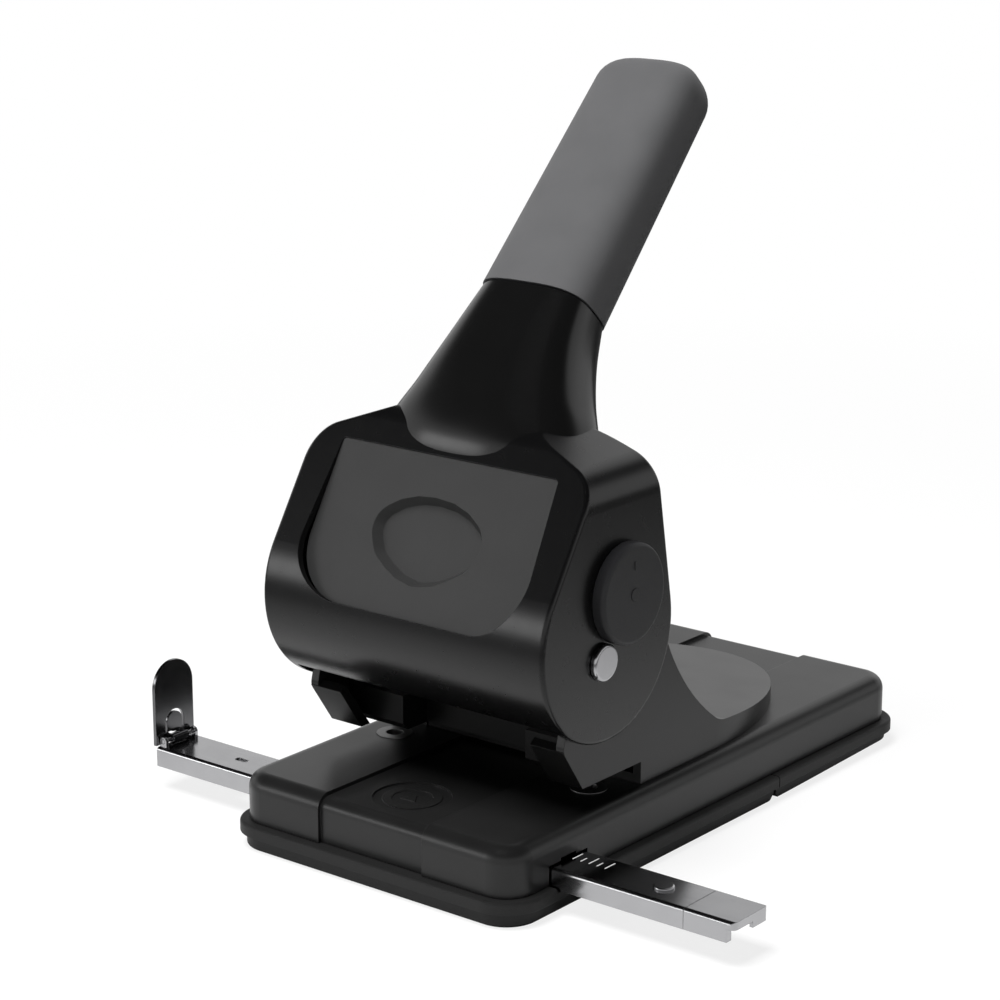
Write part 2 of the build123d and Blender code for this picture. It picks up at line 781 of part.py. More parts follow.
with BuildPart() as frame_bracket:
    with BuildSketch(Plane.YZ) as frame_side:
        with BuildLine():
            Polyline(boss_touch, frame_nose, (frame_front_y, throat_top), (stop_y, throat_top))
            Polyline((stop_y, throat_top), (stop_y, cover_top), (tail_tip[0], cover_top), tail_tip, sweep_end)
            ThreePointArc(sweep_end, sweep_middle, frame_back)
            Polyline(frame_back, boss_end)
            ThreePointArc(boss_end, (pivot_y, pivot_z + boss_radius), boss_touch)
        make_face()
        fillet(frame_side.vertices().sort_by_distance(frame_nose)[0], radius=frame_corner_radius)
        fillet(frame_side.vertices().sort_by_distance(sweep_end)[0], radius=sweep_blend_radius)
    extrude(amount=frame_width, both=True)
    with BuildSketch():
        add(frame_plan(0))
    extrude(amount=frame_width, both=True, mode=Mode.INTERSECT)
    add(frame_hollow.part, mode=Mode.SUBTRACT)
    for side in (-1, 1):
        with BuildSketch(Plane.YZ.offset(side * (half_frame - front_flange_width / 2))):
            with BuildLine():
                Polyline(
                    (frame_front_y, throat_top),
                    frame_nose,
                    (frame_nose[0] + flange_back, frame_nose[1] + flange_up),
                    (frame_front_y + flange_back + flange_up, throat_top),
                    close=True,
                )
            make_face()
        extrude(amount=front_flange_width / 2 - touch, both=True)
        with BuildSketch(Plane.XY.offset(cover_top)):
            foot_x = side * (half_frame - frame_wall / 2 - foot_width / 2)
            with Locations((foot_x, stop_y + foot_back_reach / 2)):
                Rectangle(foot_width + frame_wall, foot_back_reach)
        extrude(amount=foot_thickness)
    with BuildSketch(Plane.XY.offset(channel_top)):
        with Locations((0, tail_screw_y)):
            Circle(tail_boss_radius)
    extrude(amount=channel_drop + foot_thickness + screw_end_gap)
    with BuildSketch(Plane.XY.offset(channel_top)):
        with Locations(*frame_screw_spots, (0, tail_screw_y)):
            Circle(screw_radius + slip)
    extrude(amount=channel_drop + foot_thickness, mode=Mode.SUBTRACT)
    with BuildSketch(Plane.YZ):
        with Locations((pivot_y, pivot_z)):
            Circle(pivot_radius + slip)
    extrude(amount=frame_width, both=True, mode=Mode.SUBTRACT)
    with BuildSketch(Plane.YZ):
        with Locations(*guide_screw_spots):
            Circle(guide_screw_radius + slip)
    extrude(amount=frame_width, both=True, mode=Mode.SUBTRACT)
    for side in (-1, 1):
        with BuildSketch(Plane.YZ.offset(side * (half_frame + touch))):
            with Locations(*guide_screw_spots):
                Circle(guide_screw_head_radius + slip + touch)
        extrude(amount=-side * (guide_sink_depth + touch), taper=guide_sink_angle, mode=Mode.SUBTRACT)
finish_part(frame_bracket, "frame_bracket")

with BuildPart() as frame_screws:
    with BuildSketch(Plane.XY.offset(stiffener_bottom - screw_head_height)):
        with Locations(*frame_screw_spots, (0, tail_screw_y)):
            Circle(screw_head_radius)
            RegularPolygon(screw_socket_radius, 6, mode=Mode.SUBTRACT)
    extrude(amount=screw_head_height)
    socket_top = stiffener_bottom - screw_head_height + screw_socket_depth
    with BuildSketch(Plane.XY.offset(socket_top)):
        with Locations(*frame_screw_spots, (0, tail_screw_y)):
            Circle(screw_radius)
    extrude(amount=cover_top + foot_thickness - screw_end_gap - socket_top)
finish_part(frame_screws, "frame_screws")

# Punch guide block with its paper stop wall, held between the frame walls
guide_front_y = punch_y - guide_front
guide_half = half_frame - frame_wall - guide_margin
guide_top = throat_top + guide_height
ear_back_y = punch_y + guide_screw_spread / 2
with BuildPart() as guide_block:
    with BuildSketch(Plane.XY.offset(throat_top)):
        with Locations((0, (guide_front_y + stop_y) / 2)):
            Rectangle(2 * guide_half, stop_y - guide_front_y)
        with Locations((0, guide_front_y)):
            Rectangle(guide_notch_width, 2 * guide_notch_depth, mode=Mode.SUBTRACT)
    extrude(amount=guide_height)
    chamfer(guide_block.edges().group_by(Axis.Y)[0].group_by(Axis.Z)[0], length=guide_bevel)
    with BuildSketch(Plane.XY.offset(cover_top + touch)):
        with Locations((0, stop_y + stop_wall / 2)):
            Rectangle(2 * stop_half_width, stop_wall)
    extrude(amount=guide_top - cover_top - touch)
    for side in (-1, 1):
        with BuildSketch(Plane.YZ.offset(side * guide_half)):
            with Locations(((guide_front_y + ear_back_y) / 2, throat_top)):
                Rectangle(ear_back_y - guide_front_y, 2 * guide_ear_height)
            with Locations((punch_y, throat_top - guide_ear_height)):
                Rectangle(2 * frame_width, 2 * guide_ear_height, mode=Mode.SUBTRACT)
        extrude(amount=-side * guide_ear_thickness)
    with BuildSketch(Plane.YZ):
        with Locations(*guide_screw_spots):
            Circle(guide_screw_radius + slip)
    extrude(amount=frame_width, both=True, mode=Mode.SUBTRACT)
    with BuildSketch(Plane.XY.offset(throat_top)):
        with Locations((-half_spacing, punch_y), (half_spacing, punch_y)):
            Circle(hole_radius + punch_fit)
    extrude(amount=guide_height, mode=Mode.SUBTRACT)
    with BuildSketch(Plane.XY.offset(throat_top + guide_lip)):
        with Locations((-half_spacing, punch_y), (half_spacing, punch_y)):
            Circle(shank_radius + punch_fit)
    extrude(amount=guide_height, mode=Mode.SUBTRACT)
finish_part(guide_block, "guide_block")

with BuildPart() as guide_screws:
    for side in (-1, 1):
        with BuildSketch(Plane.YZ.offset(side * half_frame)):
            with Locations(*guide_screw_spots):
                Circle(guide_screw_head_radius)
        extrude(amount=-side * guide_sink_depth, taper=guide_sink_angle)
        with BuildSketch(Plane.YZ.offset(side * half_frame)):
            with Locations(*guide_screw_spots):
                Circle(guide_screw_radius)
        extrude(amount=-side * (frame_wall + guide_margin + guide_ear_thickness - touch))
        with BuildSketch(Plane.YZ.offset(side * half_frame)):
            with Locations(*guide_screw_spots):
                RegularPolygon(guide_screw_radius, 6)
        extrude(amount=-side * guide_sink_depth, mode=Mode.SUBTRACT)
finish_part(guide_screws, "guide_screws")

# Pivot pin with a domed head at each end, fixed in the frame
head_start = half_casing + pivot_head_gap
with BuildPart() as pivot_pin:
    with BuildSketch(Plane.YZ.offset(-head_start - pivot_head_height / 2)):
        with Locations((pivot_y, pivot_z)):
            Circle(pivot_radius)
    extrude(amount=2 * head_start + pivot_head_height)
    with BuildSketch(Plane.YZ.offset(head_start)):
        with Locations((pivot_y, pivot_z)):
            Circle(pivot_head_radius)
    extrude(amount=pivot_head_height)
    fillet(pivot_pin.faces().sort_by(Axis.X)[-1].edges(), radius=pivot_head_height / 2)
finish_part(pivot_pin, "pivot_pin")

with BuildPart() as pivot_retainer:
    with BuildSketch(Plane.YZ.offset(-head_start)):
        with Locations((pivot_y, pivot_z)):
            Circle(pivot_head_radius)
    extrude(amount=-pivot_head_height)
    fillet(pivot_retainer.faces().sort_by(Axis.X)[0].edges(), radius=pivot_head_height / 2)
    with BuildSketch(Plane.YZ.offset(-head_start)):
        with Locations((pivot_y, pivot_z)):
            Circle(pivot_radius + slip)
    extrude(amount=-(pivot_head_height / 2 + slip), mode=Mode.SUBTRACT)
finish_part(pivot_retainer, "pivot_retainer")

with BuildPart() as pivot_washers:
    for side in (-1, 1):
        with BuildSketch(Plane.YZ.offset(side * (half_frame + washer_play))):
            with Locations((pivot_y, pivot_z)):
                Circle(washer_radius)
                Circle(pivot_radius + slip, mode=Mode.SUBTRACT)
        extrude(amount=side * (half_casing - casing_cheek - half_frame - 2 * washer_play))
finish_part(pivot_washers, "pivot_washers")


def core_form(grow):
    # Solid form of the lever core, moved outward by grow
    lean_length = sleeve_length - core_end_inset
    handle_end = (sleeve_foot_y + lean_length * handle_back, sleeve_foot_height + lean_length * handle_up)
    with BuildPart() as form:
        with BuildSketch(Plane.YZ):
            with Locations((shaft_y, shaft_z)):
                Circle(core_boss_radius + grow)
            with Locations((core_neck_y, core_neck_height)):
                Circle(core_neck_radius + grow)
            make_hull()
        extrude(amount=core_width / 2 + grow, both=True)
        with BuildSketch(Plane.YZ):
            with Locations((core_neck_y, core_neck_height)):
                Circle(core_neck_radius + grow)
            with Locations(handle_end):
                Circle(core_handle_radius + grow)
            make_hull()
        extrude(amount=core_width / 2 + grow, both=True)
    return form.part


# Moulded lever casing with a sunk front panel
panel_origin_y = drum_y - drum_radius * cos(radians(front_lean))
panel_origin_z = drum_z + drum_radius * sin(radians(front_lean))
panel_face_plane = Plane(
    origin=(0, panel_origin_y, panel_origin_z),
    x_dir=(1, 0, 0),
    z_dir=(0, -cos(radians(front_lean)), sin(radians(front_lean))),
)
panel_top = panel_face_plane.from_local_coords((0, panel_top_rise, -panel_depth))
floor_lean = radians(front_lean + panel_tilt)
floor_plane = Plane(origin=panel_top, x_dir=(1, 0, 0), z_dir=(0, -cos(floor_lean), sin(floor_lean)))
panel_drop = panel_top_rise + panel_low_drop
panel_top_x = half_casing - panel_top_inset
panel_low_x = half_casing - panel_low_inset
egg_y = egg_rise - panel_top_rise


def egg_outline(inset, shift):
    # Egg on the panel's floor, moved inward by inset, and by shift to its lower right
    with BuildSketch() as egg:
        with Locations((shift - egg_spread, egg_y - shift), (shift + egg_spread, egg_y - shift)):
            Circle(egg_side_radius - inset)
        with Locations((shift, egg_y - shift - egg_crown_drop)):
            Circle(egg_crown_radius - inset)
        with Locations((shift, egg_y - shift - egg_foot_drop)):
            Circle(egg_foot_radius - inset)
        make_hull()
    return egg.sketch


with BuildPart() as panel_cut:
    with BuildSketch(floor_plane) as panel_sketch:
        with BuildLine():
            Polyline(
                (-panel_top_x, 0),
                (panel_top_x, 0),
                (panel_low_x, -panel_drop),
                (-panel_low_x, -panel_drop),
                close=True,
            )
        make_face()
        fillet(panel_sketch.vertices().group_by(Axis.Y)[-1], radius=panel_top_radius)
        fillet(panel_sketch.vertices().group_by(Axis.Y)[0], radius=panel_low_radius)
    extrude(amount=overrun)

with BuildPart() as egg_cut:
    with BuildSketch(floor_plane):
        add(egg_outline(0, 0))
    extrude(amount=-egg_depth, taper=egg_taper)
    with BuildSketch(floor_plane):
        add(egg_outline(egg_groove, egg_shift))
    extrude(amount=-egg_depth, mode=Mode.SUBTRACT)

with BuildPart() as casing_room:
    add(casing_form(casing_skin, casing_cheek))
    with BuildSketch(floor_plane.offset(-panel_wall)):
        Rectangle(2 * casing_width, 2 * casing_top)
    extrude(amount=casing_top, mode=Mode.SUBTRACT)

with BuildPart() as lever_casing:
    add(casing_form(0, 0))
    fillet(lever_casing.faces().filter_by(Axis.X).edges(), radius=edge_round)
    add(panel_cut.part, mode=Mode.SUBTRACT)
    add(egg_cut.part, mode=Mode.SUBTRACT)
    add(casing_room.part, mode=Mode.SUBTRACT)
    with BuildSketch(Plane.YZ):
        with Locations((drum_y - casing_top, front_skin_end - casing_top)):
            Rectangle(2 * casing_top, 2 * casing_top)
        with Locations((drum_y + casing_top, back_skin_end - casing_top)):
            Rectangle(2 * casing_top, 2 * casing_top)
    extrude(amount=half_casing - casing_cheek, both=True, mode=Mode.SUBTRACT)
    add(core_form(core_opening_gap), mode=Mode.SUBTRACT)
    with BuildSketch(Plane.YZ):
        with Locations((pivot_y, pivot_z)):
            Circle(pivot_radius + pivot_fit)
        with Locations((shaft_y, shaft_z)):
            Circle(shaft_radius + slip)
    extrude(amount=casing_width, both=True, mode=Mode.SUBTRACT)
finish_part(lever_casing, "lever_casing")

# Flared neck between the casing and the sleeve
with BuildPart() as neck_shroud:
    add(neck_form(0))
    add(neck_form(neck_wall), mode=Mode.SUBTRACT)
    add(casing_form(-neck_seat_gap, -neck_seat_gap), mode=Mode.SUBTRACT)
finish_part(neck_shroud, "neck_shroud")

with BuildPart() as lever_core:
    add(core_form(0))
    with BuildSketch(Plane.YZ):
        with Locations((shaft_y, shaft_z)):
            Circle(shaft_radius + slip)
    extrude(amount=core_width, both=True, mode=Mode.SUBTRACT)
finish_part(lever_core, "lever_core")

# Grip sleeve pushed over the end of the core
sleeve_plane = Plane(
    origin=(0, sleeve_foot_y, sleeve_foot_height),
    x_dir=(1, 0, 0),
    z_dir=(0, handle_back, handle_up),
)
with BuildPart() as grip_sleeve:
    with BuildSketch(sleeve_plane):
        RectangleRounded(sleeve_foot_width, sleeve_foot_depth, sleeve_corner_radius)
    with BuildSketch(sleeve_plane.offset(sleeve_length)):
        RectangleRounded(sleeve_tip_width, sleeve_tip_depth, sleeve_corner_radius)
    loft()
    fillet(grip_sleeve.faces().sort_by(Axis.Z)[-1].edges(), radius=sleeve_tip_radius)
    add(core_form(slip), mode=Mode.SUBTRACT)
finish_part(grip_sleeve, "grip_sleeve")

# Cams with an involute edge, so that the punches move evenly with the lever
cam_edge = []
for step in range(cam_steps + 1):
    turn = swing * step / cam_steps
    reach = cam_lead + pivot_to_punch * turn
    edge_y = pivot_y + pivot_to_punch * cos(turn) + reach * sin(turn)
    edge_z = pivot_z + pivot_to_punch * sin(turn) - reach * cos(turn)
    cam_edge.append((edge_y, edge_z))
cam_flat = (pivot_y + (cam_boss_radius**2 - cam_lead**2) ** 0.5, pivot_z - cam_lead)
cam_corner = (
    cam_edge[-1][0] - cam_corner_radius * sin(swing),
    cam_edge[-1][1] + cam_corner_radius * cos(swing),
)

for side, name in ((-1, "cam_left"), (1, "cam_right")):
    with BuildPart() as cam:
        with BuildSketch(Plane.YZ.offset(side * half_spacing)):
            with Locations((pivot_y, pivot_z)):
                Circle(cam_lead - cam_play)
            with Locations((shaft_y, shaft_z)):
                Circle(cam_shaft_boss_radius)
            with Locations(cam_corner):
                Circle(cam_corner_radius)
            make_hull()
        extrude(amount=cam_thickness / 2, both=True)
        with BuildSketch(Plane.YZ.offset(side * half_spacing)):
            with BuildLine():
                Polyline((pivot_y, pivot_z), cam_flat, cam_edge[0])
                Spline(*cam_edge)
                Polyline(cam_edge[-1], cam_corner, (pivot_y, pivot_z))
            make_face()
            with Locations((pivot_y, pivot_z)):
                Circle(cam_boss_radius)
        extrude(amount=cam_thickness / 2, both=True)
        with BuildSketch(Plane.YZ):
            with Locations((pivot_y, pivot_z)):
                Circle(pivot_radius + pivot_fit)
            with Locations((shaft_y, shaft_z)):
                Circle(shaft_radius + slip)
        extrude(amount=casing_width, both=True, mode=Mode.SUBTRACT)
    finish_part(cam, name)

cam_inside = half_spacing - cam_thickness / 2
cam_outside = half_spacing + cam_thickness / 2
cheek_inside = half_casing - casing_cheek

with BuildPart() as cam_shaft:
    with BuildSketch(Plane.YZ):
        with Locations((shaft_y, shaft_z)):
            Circle(shaft_radius)
    extrude(amount=half_casing + shaft_reach, both=True)
finish_part(cam_shaft, "cam_shaft")

with BuildPart() as shaft_tubes:
    for side in (-1, 1):
        for near, far in ((core_width / 2, cam_inside), (cam_outside, cheek_inside)):
            with BuildSketch(Plane.YZ.offset(side * (near + tube_play))):
                with Locations((shaft_y, shaft_z)):
                    Circle(shaft_tube_radius)
                    Circle(shaft_radius + slip, mode=Mode.SUBTRACT)
            extrude(amount=side * (far - near - 2 * tube_play))
finish_part(shaft_tubes, "shaft_tubes")

with BuildPart() as pivot_tubes:
    with BuildSketch(Plane.YZ):
        with Locations((pivot_y, pivot_z)):
            Circle(pivot_tube_radius)
            Circle(pivot_radius + pivot_fit, mode=Mode.SUBTRACT)
    extrude(amount=cam_inside - tube_play, both=True)
    for side in (-1, 1):
        with BuildSketch(Plane.YZ.offset(side * (cam_outside + tube_play))):
            with Locations((pivot_y, pivot_z)):
                Circle(pivot_tube_radius)
                Circle(pivot_radius + pivot_fit, mode=Mode.SUBTRACT)
        extrude(amount=side * (half_frame - frame_wall - cam_outside - 2 * tube_play))
finish_part(pivot_tubes, "pivot_tubes")

# Push-on caps that cover the ends of the cam shaft
for side, name in ((-1, "cap_left"), (1, "cap_right")):
    with BuildPart() as cap:
        with BuildSketch(Plane.YZ.offset(side * (half_casing + slip))):
            with Locations((shaft_y, shaft_z)):
                Circle(cap_radius)
        extrude(amount=side * cap_height)
        outer_face = cap.faces().sort_by_distance((side * casing_width, shaft_y, shaft_z))[0]
        fillet(outer_face.edges(), radius=cap_edge_radius)
        with BuildSketch(Plane.YZ.offset(side * half_casing)):
            with Locations((shaft_y, shaft_z)):
                Circle(shaft_radius + slip)
        extrude(amount=side * (shaft_reach + touch), mode=Mode.SUBTRACT)
        with BuildSketch(Plane.YZ.offset(side * (half_casing + cap_height))):
            with Locations((shaft_y, shaft_z)):
                Circle(cap_dimple_radius)
        extrude(amount=-side * cap_dimple_depth, mode=Mode.SUBTRACT)
    finish_part(cap, name)

# Punches, each with a slim tip, a guided shank and a flat head, and their return springs
tip_bottom = throat_top + tip_hide
shank_bottom = tip_bottom + tip_length
head_top = pivot_z - cam_lead - cam_play
head_bottom = head_top - head_height
spring_radius = shank_radius + spring_gap + spring_wire_radius
spring_foot = guide_top + spring_wire_radius + slip
spring_height = head_bottom - guide_top - 2 * spring_wire_radius - 2 * slip
for side, letter in ((-1, "left"), (1, "right")):
    x = side * half_spacing
    with BuildPart() as punch:
        with BuildSketch(Plane.XY.offset(tip_bottom)):
            with Locations((x, punch_y)):
                Circle(hole_radius)
        extrude(amount=tip_length)
        with BuildSketch(Plane.XY.offset(shank_bottom)):
            with Locations((x, punch_y)):
                Circle(shank_radius)
        extrude(amount=head_bottom - shank_bottom)
        with BuildSketch(Plane.XY.offset(head_bottom)):
            with Locations((x, punch_y)):
                Circle(head_radius)
        extrude(amount=head_height)
        chamfer(punch.faces().sort_by(Axis.Z)[-1].edges(), length=head_edge)
        with BuildSketch(Plane.XZ.offset(-punch_y)):
            with BuildLine():
                Polyline(
                    (x - hole_radius, tip_bottom),
                    (x, tip_bottom + tip_notch),
                    (x + hole_radius, tip_bottom),
                    (x + hole_radius, tip_bottom - tip_notch),
                    (x - hole_radius, tip_bottom - tip_notch),
                    close=True,
                )
            make_face()
        extrude(amount=2 * hole_radius, both=True, mode=Mode.SUBTRACT)
    finish_part(punch, "punch_" + letter)
    with BuildPart() as punch_spring:
        with BuildLine() as coil:
            Helix(
                pitch=spring_height / spring_turns,
                height=spring_height,
                radius=spring_radius,
                center=(x, punch_y, spring_foot),
            )
        with BuildSketch(Plane(origin=coil.line @ 0, z_dir=coil.line % 0)):
            Circle(spring_wire_radius)
        sweep()
    finish_part(punch_spring, "punch_spring_" + letter)
    turn_samples = spring_samples // spring_turns
    centres = [coil.line @ (step / spring_samples) for step in range(spring_samples + 1)]
    nearest = spring_height
    for a in range(spring_samples):
        for b in range(a + turn_samples // 2, spring_samples + 1):
            nearest = min(nearest, (centres[a] - centres[b]).length)
    print("Least gap between the turns of spring", letter, round(nearest - 2 * spring_wire_radius, 2))

# Paper guide bar, an inverted channel that slides through the base on two guides
bar_back_y = bar_front_y + bar_width


def bar_section(inset, top_inset):
    # Solid block of the bar's section over a long length, moved inward at sides and top
    with BuildPart() as block:
        with BuildSketch(Plane.YZ) as section:
            with Locations((bar_middle_y, bar_top - top_inset - bar_drop)):
                Rectangle(bar_width - 2 * inset, 2 * bar_drop)
            fillet(section.vertices().group_by(Axis.Y)[-1], radius=bar_sheet - inset / 2)
        extrude(amount=2 * cover_width, both=True)
    return block.part


with BuildPart() as guide_bar:
    with BuildSketch(Plane.XY.offset(bar_bottom)):
        with Locations(((bar_left + bar_right) / 2, bar_middle_y)):
            Rectangle(bar_right - bar_left, 2 * bar_width)
    extrude(amount=bar_drop)
    add(bar_section(0, 0), mode=Mode.INTERSECT)
    with BuildSketch(Plane.YZ):
        with Locations((bar_middle_y, bar_bottom)):
            Rectangle(bar_width - 2 * bar_sheet, 2 * bar_drop - 2 * bar_sheet)
    extrude(amount=2 * cover_width, both=True, mode=Mode.SUBTRACT)
    with BuildSketch(Plane.XY.offset(bar_bottom)):
        with Locations((bar_left + bar_nick_inset, bar_middle_y)):
            RectangleRounded(bar_nick_length, bar_nick_width, bar_nick_width / 3)
        with Locations((bar_right - rivet_inset, bar_middle_y)):
            Circle(rivet_radius + slip)
    extrude(amount=2 * bar_drop, mode=Mode.SUBTRACT)
    for y in (bar_front_y + flag_ear_inset, bar_back_y - flag_ear_inset - flag_ear_sheet):
        with BuildSketch(Plane.XZ.offset(-y)):
            with Locations((bar_left + flag_pin_inset, bar_top + flag_pin_rise)):
                Circle(flag_ear_radius)
            with Locations((bar_left + flag_pin_inset, bar_top + flag_pin_rise / 2 - bar_sheet / 2)):
                Rectangle(2 * flag_ear_radius, flag_pin_rise + bar_sheet)
        extrude(amount=-flag_ear_sheet)
    with BuildSketch(Plane.XZ):
        with Locations((bar_left + flag_pin_inset, bar_top + flag_pin_rise)):
            Circle(flag_pin_radius + slip)
    extrude(amount=cover_depth, both=True, mode=Mode.SUBTRACT)
finish_part(guide_bar, "guide_bar")

nest = bar_sheet + slip
with BuildPart() as end_tongue:
    with BuildSketch(Plane.XY.offset(bar_bottom)):
        with Locations((bar_right, bar_middle_y)):
            Rectangle(2 * end_piece_overlap, 2 * bar_width)
    extrude(amount=bar_drop)
    add(bar_section(nest, nest), mode=Mode.INTERSECT)

with BuildPart() as bar_end_piece:
    with BuildSketch(Plane.XY.offset(bar_bottom)):
        with Locations(((bar_right + touch + end_piece_right) / 2, bar_middle_y)):
            Rectangle(end_piece_right - bar_right - touch, 2 * bar_width)
    extrude(amount=bar_drop)
    add(bar_section(0, 0), mode=Mode.INTERSECT)
    add(end_tongue.part)
    with BuildSketch(Plane.YZ):
        with Locations((bar_middle_y, bar_bottom)):
            Rectangle(bar_width - 2 * nest - 2 * bar_sheet, 2 * bar_drop - 2 * nest - 2 * bar_sheet)
    extrude(amount=2 * cover_width, both=True, mode=Mode.SUBTRACT)
    with BuildSketch(Plane.XY.offset(bar_bottom)):
        with Locations((bar_right - rivet_inset, bar_middle_y)):
            Circle(rivet_radius + slip)
    extrude(amount=2 * bar_drop, mode=Mode.SUBTRACT)
    with BuildSketch(Plane.XZ):
        with Locations((end_piece_right, bar_bottom)):
            Rectangle(2 * end_piece_flange_cut, 2 * bar_drop - 2 * nest - 2 * bar_sheet)
    extrude(amount=cover_depth, both=True, mode=Mode.SUBTRACT)
    with BuildSketch(Plane.YZ.offset(end_piece_right)):
        with Locations((bar_back_y - end_lip_width / 2 - bar_sheet, bar_top - nest - end_lip_drop / 2)):
            Rectangle(end_lip_width, end_lip_drop)
    extrude(amount=-bar_sheet)
    with BuildSketch():
        with Locations((end_piece_right - overrun, bar_middle_y)):
            RectangleRounded(2 * overrun, bar_width, end_piece_corner_radius)
    extrude(amount=2 * bar_top, mode=Mode.INTERSECT)
finish_part(bar_end_piece, "bar_end_piece")

with BuildPart() as bar_rivet:
    with BuildSketch(Plane.XY.offset(bar_top)):
        with Locations((bar_right - rivet_inset, bar_middle_y)):
            Circle(rivet_head_radius)
    extrude(amount=rivet_head_height)
    fillet(bar_rivet.faces().sort_by(Axis.Z)[-1].edges(), radius=rivet_head_height / 2)
    with BuildSketch(Plane.XY.offset(bar_top)):
        with Locations((bar_right - rivet_inset, bar_middle_y)):
            Circle(rivet_radius)
    extrude(amount=-(bar_sheet + nest))
    with BuildSketch(Plane.XY.offset(bar_top - bar_sheet - nest)):
        with Locations((bar_right - rivet_inset, bar_middle_y)):
            Circle(rivet_head_radius)
    extrude(amount=-rivet_head_height)
finish_part(bar_rivet, "bar_rivet")

with BuildPart() as bar_guides:
    guide_clip_x = half_width - cover_wall - guide_clip_inset - guide_clip_length / 2
    guide_clip_height = bar_top + bar_play + guide_clip_wall - tray_floor
    window_height = bar_drop + 2 * bar_play
    for side in (-1, 1):
        with BuildSketch(Plane.YZ.offset(side * guide_clip_x)):
            with Locations((bar_middle_y, tray_floor + guide_clip_height / 2)):
                Rectangle(bar_width + 2 * bar_play + 2 * guide_clip_wall, guide_clip_height)
            with Locations((bar_middle_y, bar_bottom + bar_drop / 2)):
                Rectangle(bar_width + 2 * bar_play, window_height, mode=Mode.SUBTRACT)
            with Locations((bar_middle_y, bar_top)):
                Rectangle(2 * rivet_head_radius + 2 * bar_slot_gap, guide_clip_height, mode=Mode.SUBTRACT)
        extrude(amount=guide_clip_length / 2, both=True)
finish_part(bar_guides, "bar_guides")

# Stop flag that folds down on to the bar
flag_pin_x = bar_left + flag_pin_inset
flag_pin_z = bar_top + flag_pin_rise
with BuildPart() as flag_hinge_pin:
    with BuildSketch(Plane.XZ.offset(-(bar_front_y + flag_ear_inset))):
        with Locations((flag_pin_x, flag_pin_z)):
            Circle(flag_pin_radius)
    extrude(amount=-(bar_width - 2 * flag_ear_inset))
finish_part(flag_hinge_pin, "flag_hinge_pin")

flag_outer_x = flag_pin_x - flag_offset - flag_sheet
flag_foot_z = bar_top + flag_foot_gap
flag_round_z = flag_foot_z + flag_height - bar_width / 2
tab_half = flag_knuckle_length / 2
with BuildPart() as stop_flag:
    with BuildSketch(Plane.YZ.offset(flag_outer_x)):
        with Locations((bar_middle_y, (flag_foot_z + flag_round_z) / 2)):
            Rectangle(bar_width, flag_round_z - flag_foot_z)
        with Locations((bar_middle_y, flag_round_z)):
            Circle(bar_width / 2)
        with Locations((bar_middle_y, flag_foot_z + flag_slit_height - tab_half)):
            Circle(tab_half + flag_slit, mode=Mode.SUBTRACT)
            Circle(tab_half)
        with Locations((bar_middle_y, flag_foot_z + flag_slit_height / 2)):
            Rectangle(2 * tab_half + 2 * flag_slit, flag_slit_height - 2 * tab_half, mode=Mode.SUBTRACT)
            Rectangle(2 * tab_half, flag_slit_height - 2 * tab_half)
    extrude(amount=flag_sheet)
    with BuildSketch(Plane.XZ.offset(-(bar_middle_y - tab_half))):
        with Locations((flag_pin_x, flag_pin_z)):
            Circle(flag_knuckle_radius)
        with Locations(((flag_pin_x + flag_outer_x + flag_sheet) / 2, flag_pin_z)):
            Rectangle(flag_pin_x - flag_outer_x - flag_sheet, flag_knuckle_radius)
    extrude(amount=-flag_knuckle_length)
    with BuildSketch(Plane.XZ):
        with Locations((flag_pin_x, flag_pin_z)):
            Circle(flag_pin_radius + slip)
    extrude(amount=cover_depth, both=True, mode=Mode.SUBTRACT)
finish_part(stop_flag, "stop_flag")
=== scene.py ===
"""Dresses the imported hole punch: finishes, fine details, studio and camera."""

import json
import math

import bmesh
import bpy
from bpy.props import FloatProperty, FloatVectorProperty, PointerProperty
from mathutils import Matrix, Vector
from mathutils.bvhtree import BVHTree
from mathutils.geometry import barycentric_transform


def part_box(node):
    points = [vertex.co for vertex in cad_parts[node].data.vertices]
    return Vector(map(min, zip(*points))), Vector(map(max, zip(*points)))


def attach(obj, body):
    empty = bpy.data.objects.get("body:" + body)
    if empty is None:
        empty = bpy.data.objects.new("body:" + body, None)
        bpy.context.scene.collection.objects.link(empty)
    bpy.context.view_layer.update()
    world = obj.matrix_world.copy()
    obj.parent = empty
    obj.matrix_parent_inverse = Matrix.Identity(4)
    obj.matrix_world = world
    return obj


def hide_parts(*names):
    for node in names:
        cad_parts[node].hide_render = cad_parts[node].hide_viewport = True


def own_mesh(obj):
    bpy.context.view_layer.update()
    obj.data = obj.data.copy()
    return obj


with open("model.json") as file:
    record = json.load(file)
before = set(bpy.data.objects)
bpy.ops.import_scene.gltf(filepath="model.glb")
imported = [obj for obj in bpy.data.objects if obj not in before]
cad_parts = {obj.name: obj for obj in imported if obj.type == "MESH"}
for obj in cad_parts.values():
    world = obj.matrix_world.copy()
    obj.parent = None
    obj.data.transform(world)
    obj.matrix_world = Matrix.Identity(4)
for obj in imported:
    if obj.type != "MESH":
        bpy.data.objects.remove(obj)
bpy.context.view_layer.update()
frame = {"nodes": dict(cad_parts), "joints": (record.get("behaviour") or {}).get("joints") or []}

bl_info = {
    "name": "Hole Punch Dressing",
    "version": (1, 0, 0),
    "blender": (4, 5, 0),
    "location": "3D View > Sidebar > Hole Punch",
    "description": "Finishes and fine details for the packed heavy duty hole punch",
    "category": "Object",
}

MILLIMETRE = 0.001


def grey(value):
    """An opaque grey, from black at 0 to white at 1."""
    return (value, value, value, 1.0)


WHITE = grey(1.0)

